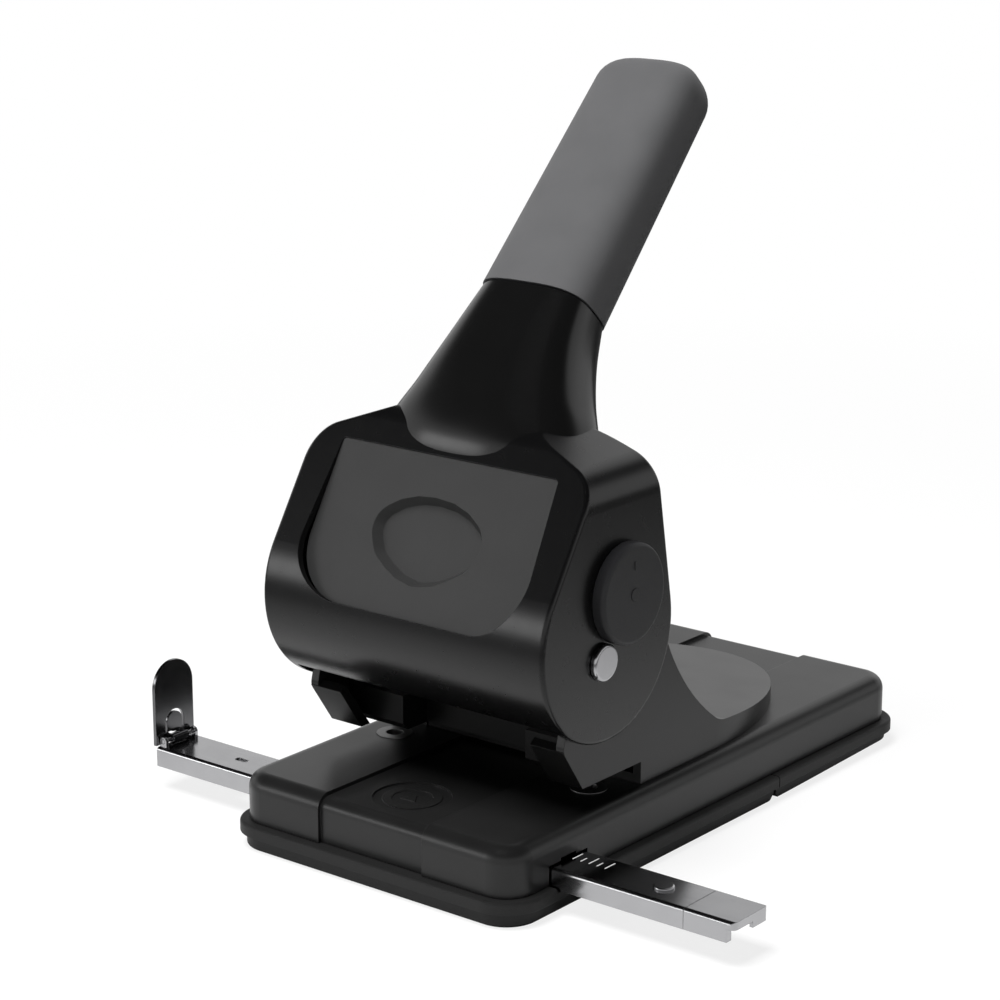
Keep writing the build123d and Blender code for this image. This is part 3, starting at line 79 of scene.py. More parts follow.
# Which way the marks on metal run: they are long along an axis whose number is below 1
DRAWN_ALONG_BAR = (0.02, 1.0, 1.0)
DRAWN_UP = (1.0, 1.0, 0.03)
EVEN = (1.0, 1.0, 1.0)

# Shader sums

# Sockets of a Mix node that mixes colours
MIX_SHARE, MIX_FIRST, MIX_SECOND, MIX_RESULT = 0, 6, 7, 2

# How round the edges look, and how finely that is worked out
EDGE_ROUNDING = 0.3 * MILLIMETRE
EDGE_SAMPLES = 4


class Flow:
    """A node's output that takes part in sums: each operator adds its Math node."""

    def __init__(self, shader, socket):
        self.shader = shader
        self.socket = socket

    def __add__(self, other):
        return self.shader.sum("ADD", self, other)

    def __radd__(self, other):
        return self.shader.sum("ADD", other, self)

    def __mul__(self, other):
        return self.shader.sum("MULTIPLY", self, other)

    def __rmul__(self, other):
        return self.shader.sum("MULTIPLY", other, self)


class Shader:
    """A node tree under construction, whose nodes all come from one method."""

    def __init__(self, tree):
        self.tree = tree
        tree.nodes.clear()

    def node(self, kind, settings=(), sockets=(), out=0):
        """Adds a node, makes its settings first, then gives its sockets values or links."""
        made = self.tree.nodes.new(kind)
        for name, value in dict(settings).items():
            if name == "stops":
                fill_ramp(made.color_ramp, value)
            else:
                setattr(made, name, value)
        for name, value in dict(sockets).items():
            if isinstance(value, Flow):
                self.tree.links.new(value.socket, made.inputs[name])
            else:
                made.inputs[name].default_value = value
        return Flow(self, made.outputs[out]) if made.outputs else None

    def sum(self, operation, first, second):
        """A Math node on two values, each a plain number or another node's output."""
        return self.node("ShaderNodeMath", {"operation": operation}, {0: first, 1: second})

    def ramp(self, value, stops):
        """The colour at a value from 0 to 1, between stops of a position and a colour."""
        return self.node("ShaderNodeValToRGB", {"stops": stops}, {"Fac": value})

    def mix(self, share, first, second, blend="MIX"):
        """Colour that runs from the first to the second as share runs from 0 to 1."""
        settings = {"data_type": "RGBA", "blend_type": blend}
        sockets = {MIX_SHARE: share, MIX_FIRST: first, MIX_SECOND: second}
        return self.node("ShaderNodeMix", settings, sockets, out=MIX_RESULT)

    def path(self, ray):
        """1 for this kind of ray, and 0 for the others."""
        return self.node("ShaderNodeLightPath", out=ray)


class Finish(Shader):
    """A material under construction."""

    def __init__(self, name):
        self.material = bpy.data.materials.new(name)
        self.material.use_nodes = True
        super().__init__(self.material.node_tree)
        self.place = self.node("ShaderNodeTexCoord", out="Object")

    def noise(self, scale, detail, run=EVEN):
        """Smooth noise from 0 to 1 in the object's own space."""
        placed = self.node("ShaderNodeVectorMath", {"operation": "MULTIPLY"}, {0: self.place, 1: run})
        return self.node("ShaderNodeTexNoise", {}, {"Vector": placed, "Scale": scale, "Detail": detail})

    def bump(self, height, strength, distance):
        """Fine relief, over edges that look slightly rounded."""
        soft = self.node("ShaderNodeBevel", {"samples": EDGE_SAMPLES}, {"Radius": EDGE_ROUNDING})
        sockets = {"Height": height, "Strength": strength, "Distance": distance, "Normal": soft}
        return self.node("ShaderNodeBump", {}, sockets)

    def close(self, **sockets):
        """Ends in a Principled shader with these sockets and returns the material."""
        named = {name.replace("_", " "): value for name, value in sockets.items()}
        surface = self.node("ShaderNodeBsdfPrincipled", {}, named)
        self.node("ShaderNodeOutputMaterial", {}, {"Surface": surface})
        return self.material


def fill_ramp(ramp, stops):
    """Gives a colour ramp these stops and no others."""
    while len(ramp.elements) > 1:
        ramp.elements.remove(ramp.elements[-1])
    for index, (position, shade) in enumerate(stops):
        element = ramp.elements[0] if index == 0 else ramp.elements.new(position)
        element.position = position
        element.color = shade


# Sizes and colours that a user would change


def colour(name, description, default):
    """An opaque colour whose default is given as red, green and blue."""
    return FloatVectorProperty(
        name=name,
        description=description,
        default=(*default, 1.0),
        subtype="COLOR",
        size=4,
        min=0.0,
        max=1.0,
    )


def number(name, description, default, **kind):
    """A number, plain or of the given subtype, unit or range."""
    return FloatProperty(name=name, description=description, default=default, **kind)


def length(name, description, default):
    """A length whose default is given in millimetres."""
    return number(name, description, default * MILLIMETRE, subtype="DISTANCE", unit="LENGTH")


def factor(name, description, default):
    """A share from 0 to 1."""
    return number(name, description, default, subtype="FACTOR", min=0.0, max=1.0)


def angle(name, description, default):
    """An angle whose default is given in degrees."""
    return number(name, description, math.radians(default), subtype="ANGLE", unit="ROTATION")


class PunchColours(bpy.types.PropertyGroup):
    """Colours of the finishes"""

    cover: colour("Cover", "Black paint of the base cover", (0.007, 0.007, 0.007))
    casing: colour("Casing", "Moulded lever casing", (0.002, 0.002, 0.0021))
    panel: colour("Panel", "Matt panel in the casing", (0.022, 0.022, 0.022))
    frame: colour("Frame", "Cast frame", (0.006, 0.006, 0.006))
    neck: colour("Neck", "Glossy neck", (0.003, 0.003, 0.003))
    sleeve: colour("Sleeve", "Soft grip sleeve", (0.075, 0.075, 0.077))
    cap: colour("Cap", "Round shaft caps", (0.012, 0.012, 0.013))
    tray: colour("Tray", "Chip tray", (0.011, 0.011, 0.011))
    rubber: colour("Rubber", "Pads under the tray", (0.012, 0.012, 0.012))
    bright: colour("Bright plate", "Nickel plate of the bar and the pin", (0.40, 0.40, 0.41))
    # Painted shade: the flag's plate is a darker copy of the bar's nickel plate, standing in for the dark
    # reflection on the flag
    flag: colour("Flag", "Nickel plate of the stop flag", (0.16, 0.16, 0.165))
    zinc: colour("Zinc", "Plated inner steel", (0.34, 0.34, 0.33))
    # Partly the ground steel's own grey, partly painted shade: darkened for the dies in the shade under
    # the jaws; the punches and cams share this grey
    hardened: colour("Hardened steel", "Ground punches, dies and cams", (0.20, 0.20, 0.20))
    mark: colour("Mark", "Filled scale marks", (0.4, 0.4, 0.4))


class PunchPanel(bpy.types.PropertyGroup):
    """Sizes of the casing's panel and its pocket"""

    top_width: length("Top width", "Half width of the panel at its top", 42.8)
    low_width: length("Low width", "Half width of the panel at its foot", 45.2)
    drop: length("Drop", "Length of the panel down its face", 51.8)
    top_radius: length("Top radius", "Radius of its upper corners", 1.5)
    low_radius: length("Low radius", "Radius of its lower corners", 19.0)
    top_y: length("Top Y", "Place of its top edge from front to back", -68.465)
    top_z: length("Top Z", "Height of its top edge", 128.461)
    lean: angle("Lean", "Lean of the panel from upright", 26.0)
    cut: length("Cut", "Depth of the opening behind the panel's face", 3.6)
    thickness: length("Thickness", "Thickness of the panel", 2.0)
    gap: length("Gap", "Joint round the panel", 0.05)
    egg_depth: length("Pocket depth", "Depth of the egg shaped pocket", 3.0)
    egg_taper: angle("Pocket taper", "Slope of the pocket's wall", 34.0)


class PunchHandle(bpy.types.PropertyGroup):
    """Sizes of the neck and the grip sleeve"""

    foot_y: length("Foot Y", "Middle of the neck's foot", -48.5)
    foot_z: length("Foot Z", "Height of the neck's foot", 121.0)
    foot_width: length("Foot width", "Half width of the neck's foot", 38.5)
    foot_depth: length("Foot depth", "Half depth of the neck's foot", 20.3)
    foot_fullness: number("Foot fullness", "Squareness of the neck's foot", 2.5)
    end_y: length("End Y", "Middle of the neck's upper end", -21.6)
    end_z: length("End Z", "Height of the neck's upper end", 168.5)
    lean: angle("Lean", "Lean of the handle from upright", 41.3)
    step: length("Step", "Step from the neck out to the sleeve", 0.5)
    sleeve_lean: angle("Sleeve lean", "Lean of the sleeve from upright", 43.2)
    sleeve_length: length("Sleeve length", "Length of the sleeve", 93.5)
    sleeve_width: length("Sleeve width", "Half width of the sleeve at its foot", 20.9)
    sleeve_depth: length("Sleeve depth", "Half depth of the sleeve at its foot", 13.8)
    tip_width: length("Tip width", "Half width of the sleeve at its tip", 18.9)
    tip_depth: length("Tip depth", "Half depth of the sleeve at its tip", 12.7)
    fullness: number("Fullness", "Squareness of the sleeve", 3.2)
    dome: length("Dome", "Radius of the sleeve's tip", 11.0)


class PunchMarks(bpy.types.PropertyGroup):
    """Sizes of the marks on the caps and the bar"""

    cap_radius: length("Cap radius", "Distance of the tick from the cap's middle", 8.0)
    dot_radius: length("Dot radius", "Radius of the dot in the cap's middle", 2.0)
    relief: length("Relief", "Height of the dot and the tick", 0.25)
    tick_length: length("Tick length", "Length of a scale tick across the bar", 5.0)
    tick_width: length("Tick width", "Width of a scale tick", 0.5)
    tick_height: length("Tick height", "Paint over the plate", 0.02)


class PunchStudio(bpy.types.PropertyGroup):
    """Place of the camera and strength of the even light"""

    azimuth: angle("Azimuth", "Camera's angle round the punch", 38.67)
    elevation: angle("Elevation", "Camera's angle above the floor", 15.32)
    distance: length("Distance", "Camera's distance from its target", 961.2)
    target_x: length("Target X", "Camera's target along the bar", -34.7)
    target_z: length("Target Z", "Camera's target above the floor", 94.4)
    lens: number("Lens", "Focal length", 103.31, unit="CAMERA")
    world: factor("World", "Strength of the even light from all round", 0.1)


# Finishes


def times(base, share):
    """A colour made paler, or darker where share is below 1."""
    return [min(1.0, part * share) for part in base[:3]] + [1.0]


def black_paint(name, base, rough, orange_peel, shine=0.3):
    """Baked black paint: almost even, with a faint orange peel and a little haze."""
    finish = Finish(name)
    haze = finish.noise(scale=60.0, detail=3.0)
    peel = finish.noise(scale=1400.0, detail=1.0)
    return finish.close(
        Base_Color=finish.mix(haze, base, times(base, 1.6)),
        Roughness=rough + haze * 0.07,
        Specular_IOR_Level=shine,
        Normal=finish.bump(peel, strength=orange_peel, distance=0.05 * MILLIMETRE),
    )


def moulded_black(name, base, rough):
    """Polished moulding with slow sink marks and a few rubbed places."""
    finish = Finish(name)
    slow = finish.noise(scale=45.0, detail=2.0)
    rubbed = finish.noise(scale=240.0, detail=4.0)
    return finish.close(
        Base_Color=finish.mix(slow, base, times(base, 1.5)),
        Roughness=rough + rubbed * 0.05,
        Specular_IOR_Level=0.35,
        Normal=finish.bump(slow, strength=0.12, distance=0.2 * MILLIMETRE),
    )


def soft_grain(name, base, grain, rough, shine=0.35):
    """Moulded plastic or rubber with a fine eroded grain."""
    finish = Finish(name)
    fine = finish.noise(scale=grain, detail=2.0)
    broad = finish.noise(scale=70.0, detail=3.0)
    return finish.close(
        Base_Color=finish.mix(broad, base, times(base, 1.25)),
        Roughness=rough + fine * 0.12,
        Specular_IOR_Level=shine,
        Normal=finish.bump(fine, strength=0.35, distance=0.08 * MILLIMETRE),
    )


def bright_plate(name, base, run=EVEN):
    """Nickel plate over metal, with faint lines along one axis where that was drawn."""
    finish = Finish(name)
    lines = finish.noise(scale=3200.0, detail=2.0, run=run)
    cloud = finish.noise(scale=90.0, detail=2.0)
    return finish.close(
        Base_Color=finish.mix(cloud, base, times(base, 0.86)),
        Metallic=1.0,
        Roughness=0.1 + lines * 0.12 + cloud * 0.05,
        Normal=finish.bump(lines, strength=0.05, distance=0.02 * MILLIMETRE),
    )


def ground_steel(name, base, rough):
    """Turned or ground steel with fine marks."""
    finish = Finish(name)
    marks = finish.noise(scale=1800.0, detail=3.0)
    return finish.close(
        Base_Color=finish.mix(marks, base, times(base, 0.8)),
        Metallic=1.0,
        Roughness=rough + marks * 0.15,
        Normal=finish.bump(marks, strength=0.06, distance=0.02 * MILLIMETRE),
    )


# Shapes

# Points round an outline, and the distance within which two points are one
RING_POINTS = 96
WELD = 0.001 * MILLIMETRE


def directions(count, offset=0.0):
    """Evenly spread directions all round, the first of them offset steps from the X axis."""
    turns = [math.tau * (step + offset) / count for step in range(count)]
    return [(math.cos(turn), math.sin(turn)) for turn in turns]


def hull_ring(circles, inset=0.0, count=RING_POINTS):
    """Points round the hull of circles (x, y, radius), one for each of count directions."""
    ring = []
    for along, across in directions(count):
        x, y, radius = max(circles, key=lambda circle: circle[0] * along + circle[1] * across + circle[2])
        ring.append((x + (radius - inset) * along, y + (radius - inset) * across))
    return ring


def crowned(half_width, half_depth, fullness):
    """Points round a box with crowned sides: an ellipse at fullness 2, and squarer above it."""
    ring = []
    for along, across in directions(RING_POINTS, 0.5):
        x = math.copysign(abs(along) ** (2 / fullness), along)
        y = math.copysign(abs(across) ** (2 / fullness), across)
        ring.append((half_width * x, half_depth * y))
    return ring


def leaning(y, z, lean):
    """Turns a point (x, across, height) on a plane across the handle into one of the punch."""
    cos, sin = math.cos(lean), math.sin(lean)
    return lambda x, across, height: Vector(
        (x, y + across * cos + height * sin, z - across * sin + height * cos)
    )


def facing(y, z, lean):
    """Turns a point (x, up, height) on a plane that faces forward and up into one of the punch."""
    cos, sin = math.cos(lean), math.sin(lean)
    return lambda x, up, height: Vector((x, y + up * sin - height * cos, z + up * cos + height * sin))


def tube(mesh, rings, closed_foot=True, closed_tip=True):
    """Joins rings, each of as many points, into a skin, and leaves out faces without a width."""
    loops = [[mesh.verts.new(point) for point in ring] for ring in rings]
    for low, high in zip(loops, loops[1:]):
        for index in range(len(low)):
            follow = (index + 1) % len(low)
            width = (low[index].co - low[follow].co).length + (high[index].co - high[follow].co).length
            if width:
                mesh.faces.new((low[index], low[follow], high[follow], high[index]))
    if closed_foot:
        mesh.faces.new(loops[0][::-1])
    if closed_tip:
        mesh.faces.new(loops[-1])
    return loops


def settled(name, mesh):
    """Welds a mesh under construction, turns its faces outward and ends the construction."""
    bmesh.ops.remove_doubles(mesh, verts=mesh.verts, dist=WELD)
    bmesh.ops.recalc_face_normals(mesh, faces=mesh.faces)
    data = bpy.data.meshes.new(name)
    mesh.to_mesh(data)
    mesh.free()
    return data


def piece(name, mesh, finish, body, nodes=(), crease=32.0):
    """Makes a piece from a mesh under construction, smooth but for edges sharper than crease degrees."""
    data = settled(name, mesh)
    data.shade_smooth()
    data.set_sharp_from_angle(angle=math.radians(crease))
    return put(name, data, finish, body, nodes)


def put(name, data, finish, body, nodes=()):
    """Puts a piece with its finish on its body, in place of the CAD nodes it stands for."""
    data.materials.clear()
    data.materials.append(finish)
    made = bpy.data.objects.new(name, data)
    bpy.context.scene.collection.objects.link(made)
    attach(made, body)
    if nodes:
        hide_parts(*nodes)
    return made


def dress(finish, *nodes):
    """Gives the named CAD nodes a finish."""
    for node in nodes:
        materials = frame["nodes"][node].data.materials
        materials.clear()
        materials.append(finish)


# A cut mesh keeps the shading of the uncut one where their surfaces are nearer than this, and the
# cosine between them is above this, at a point this share of the way from a face's corner to its middle
SAME_PLACE = 0.002 * MILLIMETRE
SAME_WAY = 0.9
INWARD = 0.02


def shaded_as(source, result):
    """A normal for each face corner of a cut mesh, the uncut mesh's own where that surface is kept."""
    tree = BVHTree.FromPolygons([v.co for v in source.vertices], [p.vertices for p in source.polygons])
    normals = []
    for face in result.polygons:
        for corner in face.vertices:
            point = result.vertices[corner].co.lerp(face.center, INWARD)
            spot, across, index, gap = tree.find_nearest(point)
            near = source.polygons[index]
            normal = face.normal
            if gap < SAME_PLACE and across.dot(normal) > SAME_WAY and len(near.vertices) == 3:
                old = [source.vertices[vertex].co for vertex in near.vertices]
                lit = [source.corner_normals[loop].vector for loop in near.loop_indices]
                normal = barycentric_transform(spot, *old, *lit).normalized()
            normals.append(normal)
    return normals


def opened(node, cutter):
    """A copy of a CAD node's mesh, opened by a cutting mesh, and shaded as the node is."""
    source = frame["nodes"][node].data
    copy = bmesh.new()
    copy.from_mesh(source)
    whole, tool = (
        bpy.data.objects.new(name, settled(name, mesh))
        for name, mesh in ((f"{node}_whole", copy), (f"{node}_cutter", cutter))
    )
    for item in (whole, tool):
        bpy.context.scene.collection.objects.link(item)
    modifier = whole.modifiers.new("opening", "BOOLEAN")
    modifier.operation, modifier.solver, modifier.object = "DIFFERENCE", "EXACT", tool
    graph = bpy.context.evaluated_depsgraph_get()
    result = bpy.data.meshes.new_from_object(whole.evaluated_get(graph))
    for item in (whole, tool):
        bpy.data.objects.remove(item)
    if len(result.polygons) < len(source.polygons) / 2:
        raise RuntimeError(f"{node} could not be opened")
    result.normals_split_custom_set(shaded_as(source, result))
    return result


# Steps


class PUNCH_OT_base(bpy.types.Operator):
    """Finish the base cover, the tray and what they carry"""

    bl_idname = "punch.base"
    bl_label = "Base"

    def execute(self, context):
        colours = context.scene.punch_colours
        paint = black_paint("cover_paint", colours.cover, rough=0.3, orange_peel=0.06)
        zinc = ground_steel("zinc_plate", colours.zinc, rough=0.35)
        plain = soft_grain("tray_grain", colours.tray, grain=2000.0, rough=0.5, shine=0.2)
        # The dies' dark steel carries painted shade for their place under the jaws
        hard = ground_steel("die_ground_shaded", colours.hardened, rough=0.3)
        rubber = soft_grain("pad_rubber_grain", colours.rubber, grain=1500.0, rough=0.7)
        dress(paint, "base_cover")
        dress(plain, "chip_tray", "chip_flap", "bar_guides")
        dress(rubber, "base_pads")
        dress(hard, "die_left", "die_right")
        dress(zinc, "cover_posts", "stiffener_plate", "flap_hinge_pins", "tray_screws")
        return {"FINISHED"}


class PUNCH_OT_works(bpy.types.Operator):
    """Finish the frame, the punches and what drives them"""

    bl_idname = "punch.works"
    bl_label = "Frame and Punches"

    def execute(self, context):
        colours = context.scene.punch_colours
        paint = black_paint("frame_paint", colours.frame, rough=0.3, orange_peel=0.1)
        satin = black_paint("guide_paint", colours.frame, rough=0.4, orange_peel=0.1, shine=0.15)
        plate = bright_plate("pin_plate", colours.bright)
        zinc = ground_steel("plain_zinc", colours.zinc, rough=0.35)
        hard = ground_steel("punch_ground", colours.hardened, rough=0.22)
        dress(paint, "frame_bracket")
        dress(satin, "guide_block")
        dress(plate, "pivot_pin", "pivot_retainer")
        dress(zinc, "frame_screws", "guide_screws", "pivot_washers")
        dress(zinc, "shaft_tubes", "pivot_tubes", "lever_core")
        dress(hard, "cam_left", "cam_right", "cam_shaft", "punch_left", "punch_right")
        return {"FINISHED"}


# The spring that each joint presses
PUNCH_JOINTS = {"punch_left_slide": "punch_spring_left", "punch_right_slide": "punch_spring_right"}


def press_spring(joint, finish):
    """Puts a copy of the rigid CAD spring in its place; the share it would keep at full travel is worked
    out but not used.
    """
    node = PUNCH_JOINTS[joint["name"]]
    low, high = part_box(node)
    travel = joint["range_m"][1]
    coil = put(f"{node}_coil", frame["nodes"][node].data.copy(), finish, "base", (node,))
    1 - travel / (high[2] - low[2])
    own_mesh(coil)


class PUNCH_OT_springs(bpy.types.Operator):
    """Put in the springs that lift the punches"""

    bl_idname = "punch.springs"
    bl_label = "Springs"

    def execute(self, context):
        wire = ground_steel("spring_wire", context.scene.punch_colours.zinc, rough=0.3)
        pressed = [joint for joint in frame["joints"] if joint["name"] in PUNCH_JOINTS]
        if len(pressed) < len(PUNCH_JOINTS):
            raise RuntimeError("a spring has no joint that presses it")
        for joint in pressed:
            press_spring(joint, wire)
        return {"FINISHED"}


# How far the cutting block stands out of the panel's face
CUTTER_RISE = 15 * MILLIMETRE


def panel_sides(panel):
    """Circles whose hull is the panel's outline."""
    top, low = panel.top_radius, panel.low_radius
    sides = []
    for side in (-1, 1):
        sides.append((side * (panel.top_width - top), -top, top))
        sides.append((side * (panel.low_width - low), low - panel.drop, low))
    return sides


class PUNCH_OT_casing(bpy.types.Operator):
    """Open the casing's face for the panel"""

    bl_idname = "punch.casing"
    bl_label = "Casing"

    def execute(self, context):
        colours, panel = context.scene.punch_colours, context.scene.punch_panel
        at = facing(panel.top_y, panel.top_z, panel.lean)
        outline = hull_ring(panel_sides(panel))
        cutter = bmesh.new()
        tube(cutter, [[at(x, y, height) for x, y in outline] for height in (-panel.cut, CUTTER_RISE)])
        moulding = moulded_black("casing_moulding", colours.casing, rough=0.24)
        shell = opened("lever_casing", cutter)
        put("opened_casing", shell, moulding, "lever", ("lever_casing",))
        return {"FINISHED"}


# Circles of the pocket's outline on the panel, in millimetres: distance from its middle, height, radius
EGG = (
    (0.0, -23.2, 10.2),
    (5.0, -23.4, 10.0),
    (9.5, -24.0, 9.2),
    (13.2, -25.2, 8.2),
    (11.5, -27.6, 8.6),
    (8.5, -29.6, 8.6),
    (4.5, -31.6, 8.6),
    (0.0, -32.6, 8.6),
)


class PUNCH_OT_panel(bpy.types.Operator):
    """Set the panel with its egg shaped pocket in the casing"""

    bl_idname = "punch.panel"
    bl_label = "Panel"

    def execute(self, context):
        colours, panel = context.scene.punch_colours, context.scene.punch_panel
        at = facing(panel.top_y, panel.top_z, panel.lean)
        border = hull_ring(panel_sides(panel), panel.gap)
        sheet = [[at(x, y, height) for x, y in border] for height in (-panel.thickness, 0.0)]
        egg = []
        for circle in EGG:
            x, y, radius = (value * MILLIMETRE for value in circle)
            egg += [(-x, y, radius), (x, y, radius)]
        wall = panel.egg_depth * math.tan(panel.egg_taper)
        levels = ((0.0, 0.0), (wall, panel.egg_depth))
        pocket = [[at(x, y, -depth) for x, y in hull_ring(egg, inset)] for inset, depth in levels]
        mesh = bmesh.new()
        rim = tube(mesh, sheet, closed_foot=False, closed_tip=False)[-1]
        lip = tube(mesh, pocket, closed_foot=False)[0]
        loops = [mesh.edges.get((a, b)) for ring in (rim, lip) for a, b in zip(ring, ring[1:] + ring[:1])]
        bmesh.ops.triangle_fill(mesh, edges=[edge for edge in loops if edge], use_beauty=True)
        matt = soft_grain("panel_grain", colours.panel, grain=2400.0, rough=0.45)
        piece("casing_panel", mesh, matt, "lever", crease=20.0)
        return {"FINISHED"}


# Sections of the neck from its foot to the sleeve, as shares: back, up, lean, width and depth
NECK = (
    (0.00, 0.00, 0.00, 1.00, 1.00),
    (0.06, 0.26, 0.07, 0.88, 0.95),
    (0.32, 0.49, 0.36, 0.50, 0.74),
    (0.64, 0.74, 0.68, 0.20, 0.40),
    (1.00, 1.00, 1.00, 0.00, 0.00),
)

# Rings from each section of the neck to the next, and along the sleeve and its dome
NECK_STEPS = 8
SLEEVE_STEPS = 6
DOME_STEPS = 10


def between(before, start, end, after, share):
    """A value between start and end, on a smooth curve through all four."""
    first = (end - before) / 2
    second = before - 2.5 * start + 2 * end - after / 2
    third = 1.5 * (start - end) + (after - before) / 2
    return start + share * first + share**2 * second + share**3 * third


def flowing(rows, steps):
    """Rows of values between the given ones, on a smooth curve through them."""
    flow = []
    for index in range(len(rows) - 1):
        before, start = rows[max(index - 1, 0)], rows[index]
        end, after = rows[index + 1], rows[min(index + 2, len(rows) - 1)]
        for step in range(steps):
            flow.append([between(*values, step / steps) for values in zip(before, start, end, after)])
    return [*flow, rows[-1]]


class PUNCH_OT_neck(bpy.types.Operator):
    """Draw the flared neck from the casing to the sleeve"""

    bl_idname = "punch.neck"
    bl_label = "Neck"

    def execute(self, context):
        colours, handle = context.scene.punch_colours, context.scene.punch_handle
        end_width, end_depth = handle.sleeve_width - handle.step, handle.sleeve_depth - handle.step
        rings = []
        for back, up, lean, width, depth in flowing(NECK, NECK_STEPS):
            y = handle.foot_y + back * (handle.end_y - handle.foot_y)
            z = handle.foot_z + up * (handle.end_z - handle.foot_z)
            at = leaning(y, z, lean * handle.lean)
            half_width = end_width + width * (handle.foot_width - end_width)
            half_depth = end_depth + depth * (handle.foot_depth - end_depth)
            fullness = handle.fullness + width * (handle.foot_fullness - handle.fullness)
            rings.append([at(x, across, 0.0) for x, across in crowned(half_width, half_depth, fullness)])
        mesh = bmesh.new()
        tube(mesh, rings)
        gloss = moulded_black("neck_moulding", colours.neck, rough=0.2)
        piece("flared_neck", mesh, gloss, "lever", ("neck_shroud",), crease=50.0)
        return {"FINISHED"}


class PUNCH_OT_sleeve(bpy.types.Operator):
    """Draw the soft grip sleeve with its domed tip"""

    bl_idname = "punch.sleeve"
    bl_label = "Grip Sleeve"

    def execute(self, context):
        colours, handle = context.scene.punch_colours, context.scene.punch_handle
        straight = handle.sleeve_length - handle.dome
        levels = [(step / SLEEVE_STEPS * straight, 0.0) for step in range(SLEEVE_STEPS + 1)]
        for step in range(1, DOME_STEPS + 1):
            turn = math.pi / 2 * step / DOME_STEPS
            along = handle.sleeve_length - handle.dome * (1 - math.sin(turn))
            levels.append((along, handle.dome * (1 - math.cos(turn))))
        at = leaning(handle.end_y, handle.end_z, handle.sleeve_lean)
        rings = []
        for along, inset in levels:
            part = along / handle.sleeve_length
            half_width = handle.sleeve_width + part * (handle.tip_width - handle.sleeve_width)
            half_depth = handle.sleeve_depth + part * (handle.tip_depth - handle.sleeve_depth)
            outline = crowned(half_width - inset, half_depth - inset, handle.fullness)
            rings.append([at(x, across, along) for x, across in outline])
        mesh = bmesh.new()
        tube(mesh, rings)
        soft = soft_grain("sleeve_grain", colours.sleeve, grain=2600.0, rough=0.55)
        piece("soft_sleeve", mesh, soft, "lever", ("grip_sleeve",), crease=50.0)
        return {"FINISHED"}


# Points round a mark on a cap, and half the width of a cap's tick as a share of its dot's radius
CAP_POINTS = 32
THIN = 0.2


class PUNCH_OT_caps(bpy.types.Operator):
    """Finish the shaft's caps and add the dot and the tick on each"""

    bl_idname = "punch.caps"
    bl_label = "Shaft Caps"

    def execute(self, context):
        colours, marks = context.scene.punch_colours, context.scene.punch_marks
        grain = soft_grain("cap_grain", colours.cap, grain=2200.0, rough=0.5)
        dress(grain, "cap_left", "cap_right")
        dot, thin = marks.dot_radius, marks.dot_radius * THIN
        tick = [(0.0, marks.cap_radius, thin), (0.0, marks.cap_radius + dot, thin)]
        levels = ((0.0, 0.0), (marks.relief / 2, 0.0), (marks.relief, marks.relief / 2))
        for side, node in ((-1, "cap_left"), (1, "cap_right")):
            low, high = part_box(node)
            y, z = (low[1] + high[1]) / 2, (low[2] + high[2]) / 2
            face = high[0] if side > 0 else low[0]
            mesh = bmesh.new()
            for circles in ([(0.0, 0.0, dot)], tick):
                rings = []
                for height, inset in levels:
                    outline = hull_ring(circles, inset, CAP_POINTS)
                    rings.append([Vector((face + side * height, y + a, z + b)) for a, b in outline])
                tube(mesh, rings, closed_foot=False)
            piece(f"{node}_marks", mesh, grain, "lever")
        return {"FINISHED"}


# Scale ticks along the bar, in millimetres from the middle, and points round each
TICKS = (62.0, 65.0, 68.0, 71.0, 74.0)
TICK_POINTS = 12

# Distance of the scale from the bar's front edge, and every other tick's share of the full length
SCALE_EDGE = 3 * MILLIMETRE
SHORT_TICK = 0.6


class PUNCH_OT_bar(bpy.types.Operator):
    """Finish the guide bar and its stop flag, and mark the bar's scale"""

    bl_idname = "punch.bar"
    bl_label = "Guide Bar"

    def execute(self, context):
        colours, marks = context.scene.punch_colours, context.scene.punch_marks
        drawn = bright_plate("bar_plate", colours.bright, DRAWN_ALONG_BAR)
        dress(drawn, "guide_bar", "bar_end_piece")
        # The flag's darker plate is painted shade for the dark reflection it shows
        dress(bright_plate("flag_plate_painted_shade", colours.flag, DRAWN_UP), "stop_flag")
        dress(bright_plate("rivet_plate", colours.bright), "bar_rivet", "flag_hinge_pin")
        low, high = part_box("guide_bar")
        foot, half = low[1] + SCALE_EDGE, marks.tick_width / 2
        levels = (high[2], high[2] + marks.tick_height)
        mesh = bmesh.new()
        for order, place in enumerate(TICKS):
            x = place * MILLIMETRE
            reach = marks.tick_length * (1.0 if order % 2 == 0 else SHORT_TICK)
            outline = hull_ring([(x, foot + half, half), (x, foot + reach, half)], count=TICK_POINTS)
            rings = [[Vector((a, b, level)) for a, b in outline] for level in levels]
            tube(mesh, rings, closed_foot=False)
        paint = soft_grain("mark_paint", colours.mark, grain=900.0, rough=0.6)
        piece("scale_marks", mesh, paint, "bar")
        return {"FINISHED"}


# Soft boxes: name, place and size in metres, power in watts, and whether they show in what mirrors them
LAMPS = (
    ("top_box", (-0.05, -0.55, 1.4), (0.7, 0.7), 36.0, False),
    ("front_left_box", (-1.2, -1.5, 0.45), (0.8, 0.5), 4.5, True),
)
AIM = Vector((0.0, 0.0, 0.09))

# Half the floor's side in metres, how far it lies under the pads, and its colour to the camera
FLOOR_REACH = 6.0
FLOOR_DROP = 0.2 * MILLIMETRE
FLOOR_COLOUR = grey(0.9)

# By the distance from the punch in metres: the floor's colour to the light that it throws back,
# and how much of the white that the camera sees glows by itself and takes no shadow
FLOOR_BACK = ((0.15, grey(0.75)), (0.45, grey(0.14)))
FLOOR_GLOW = ((0.2, grey(0.82)), (0.8, WHITE))


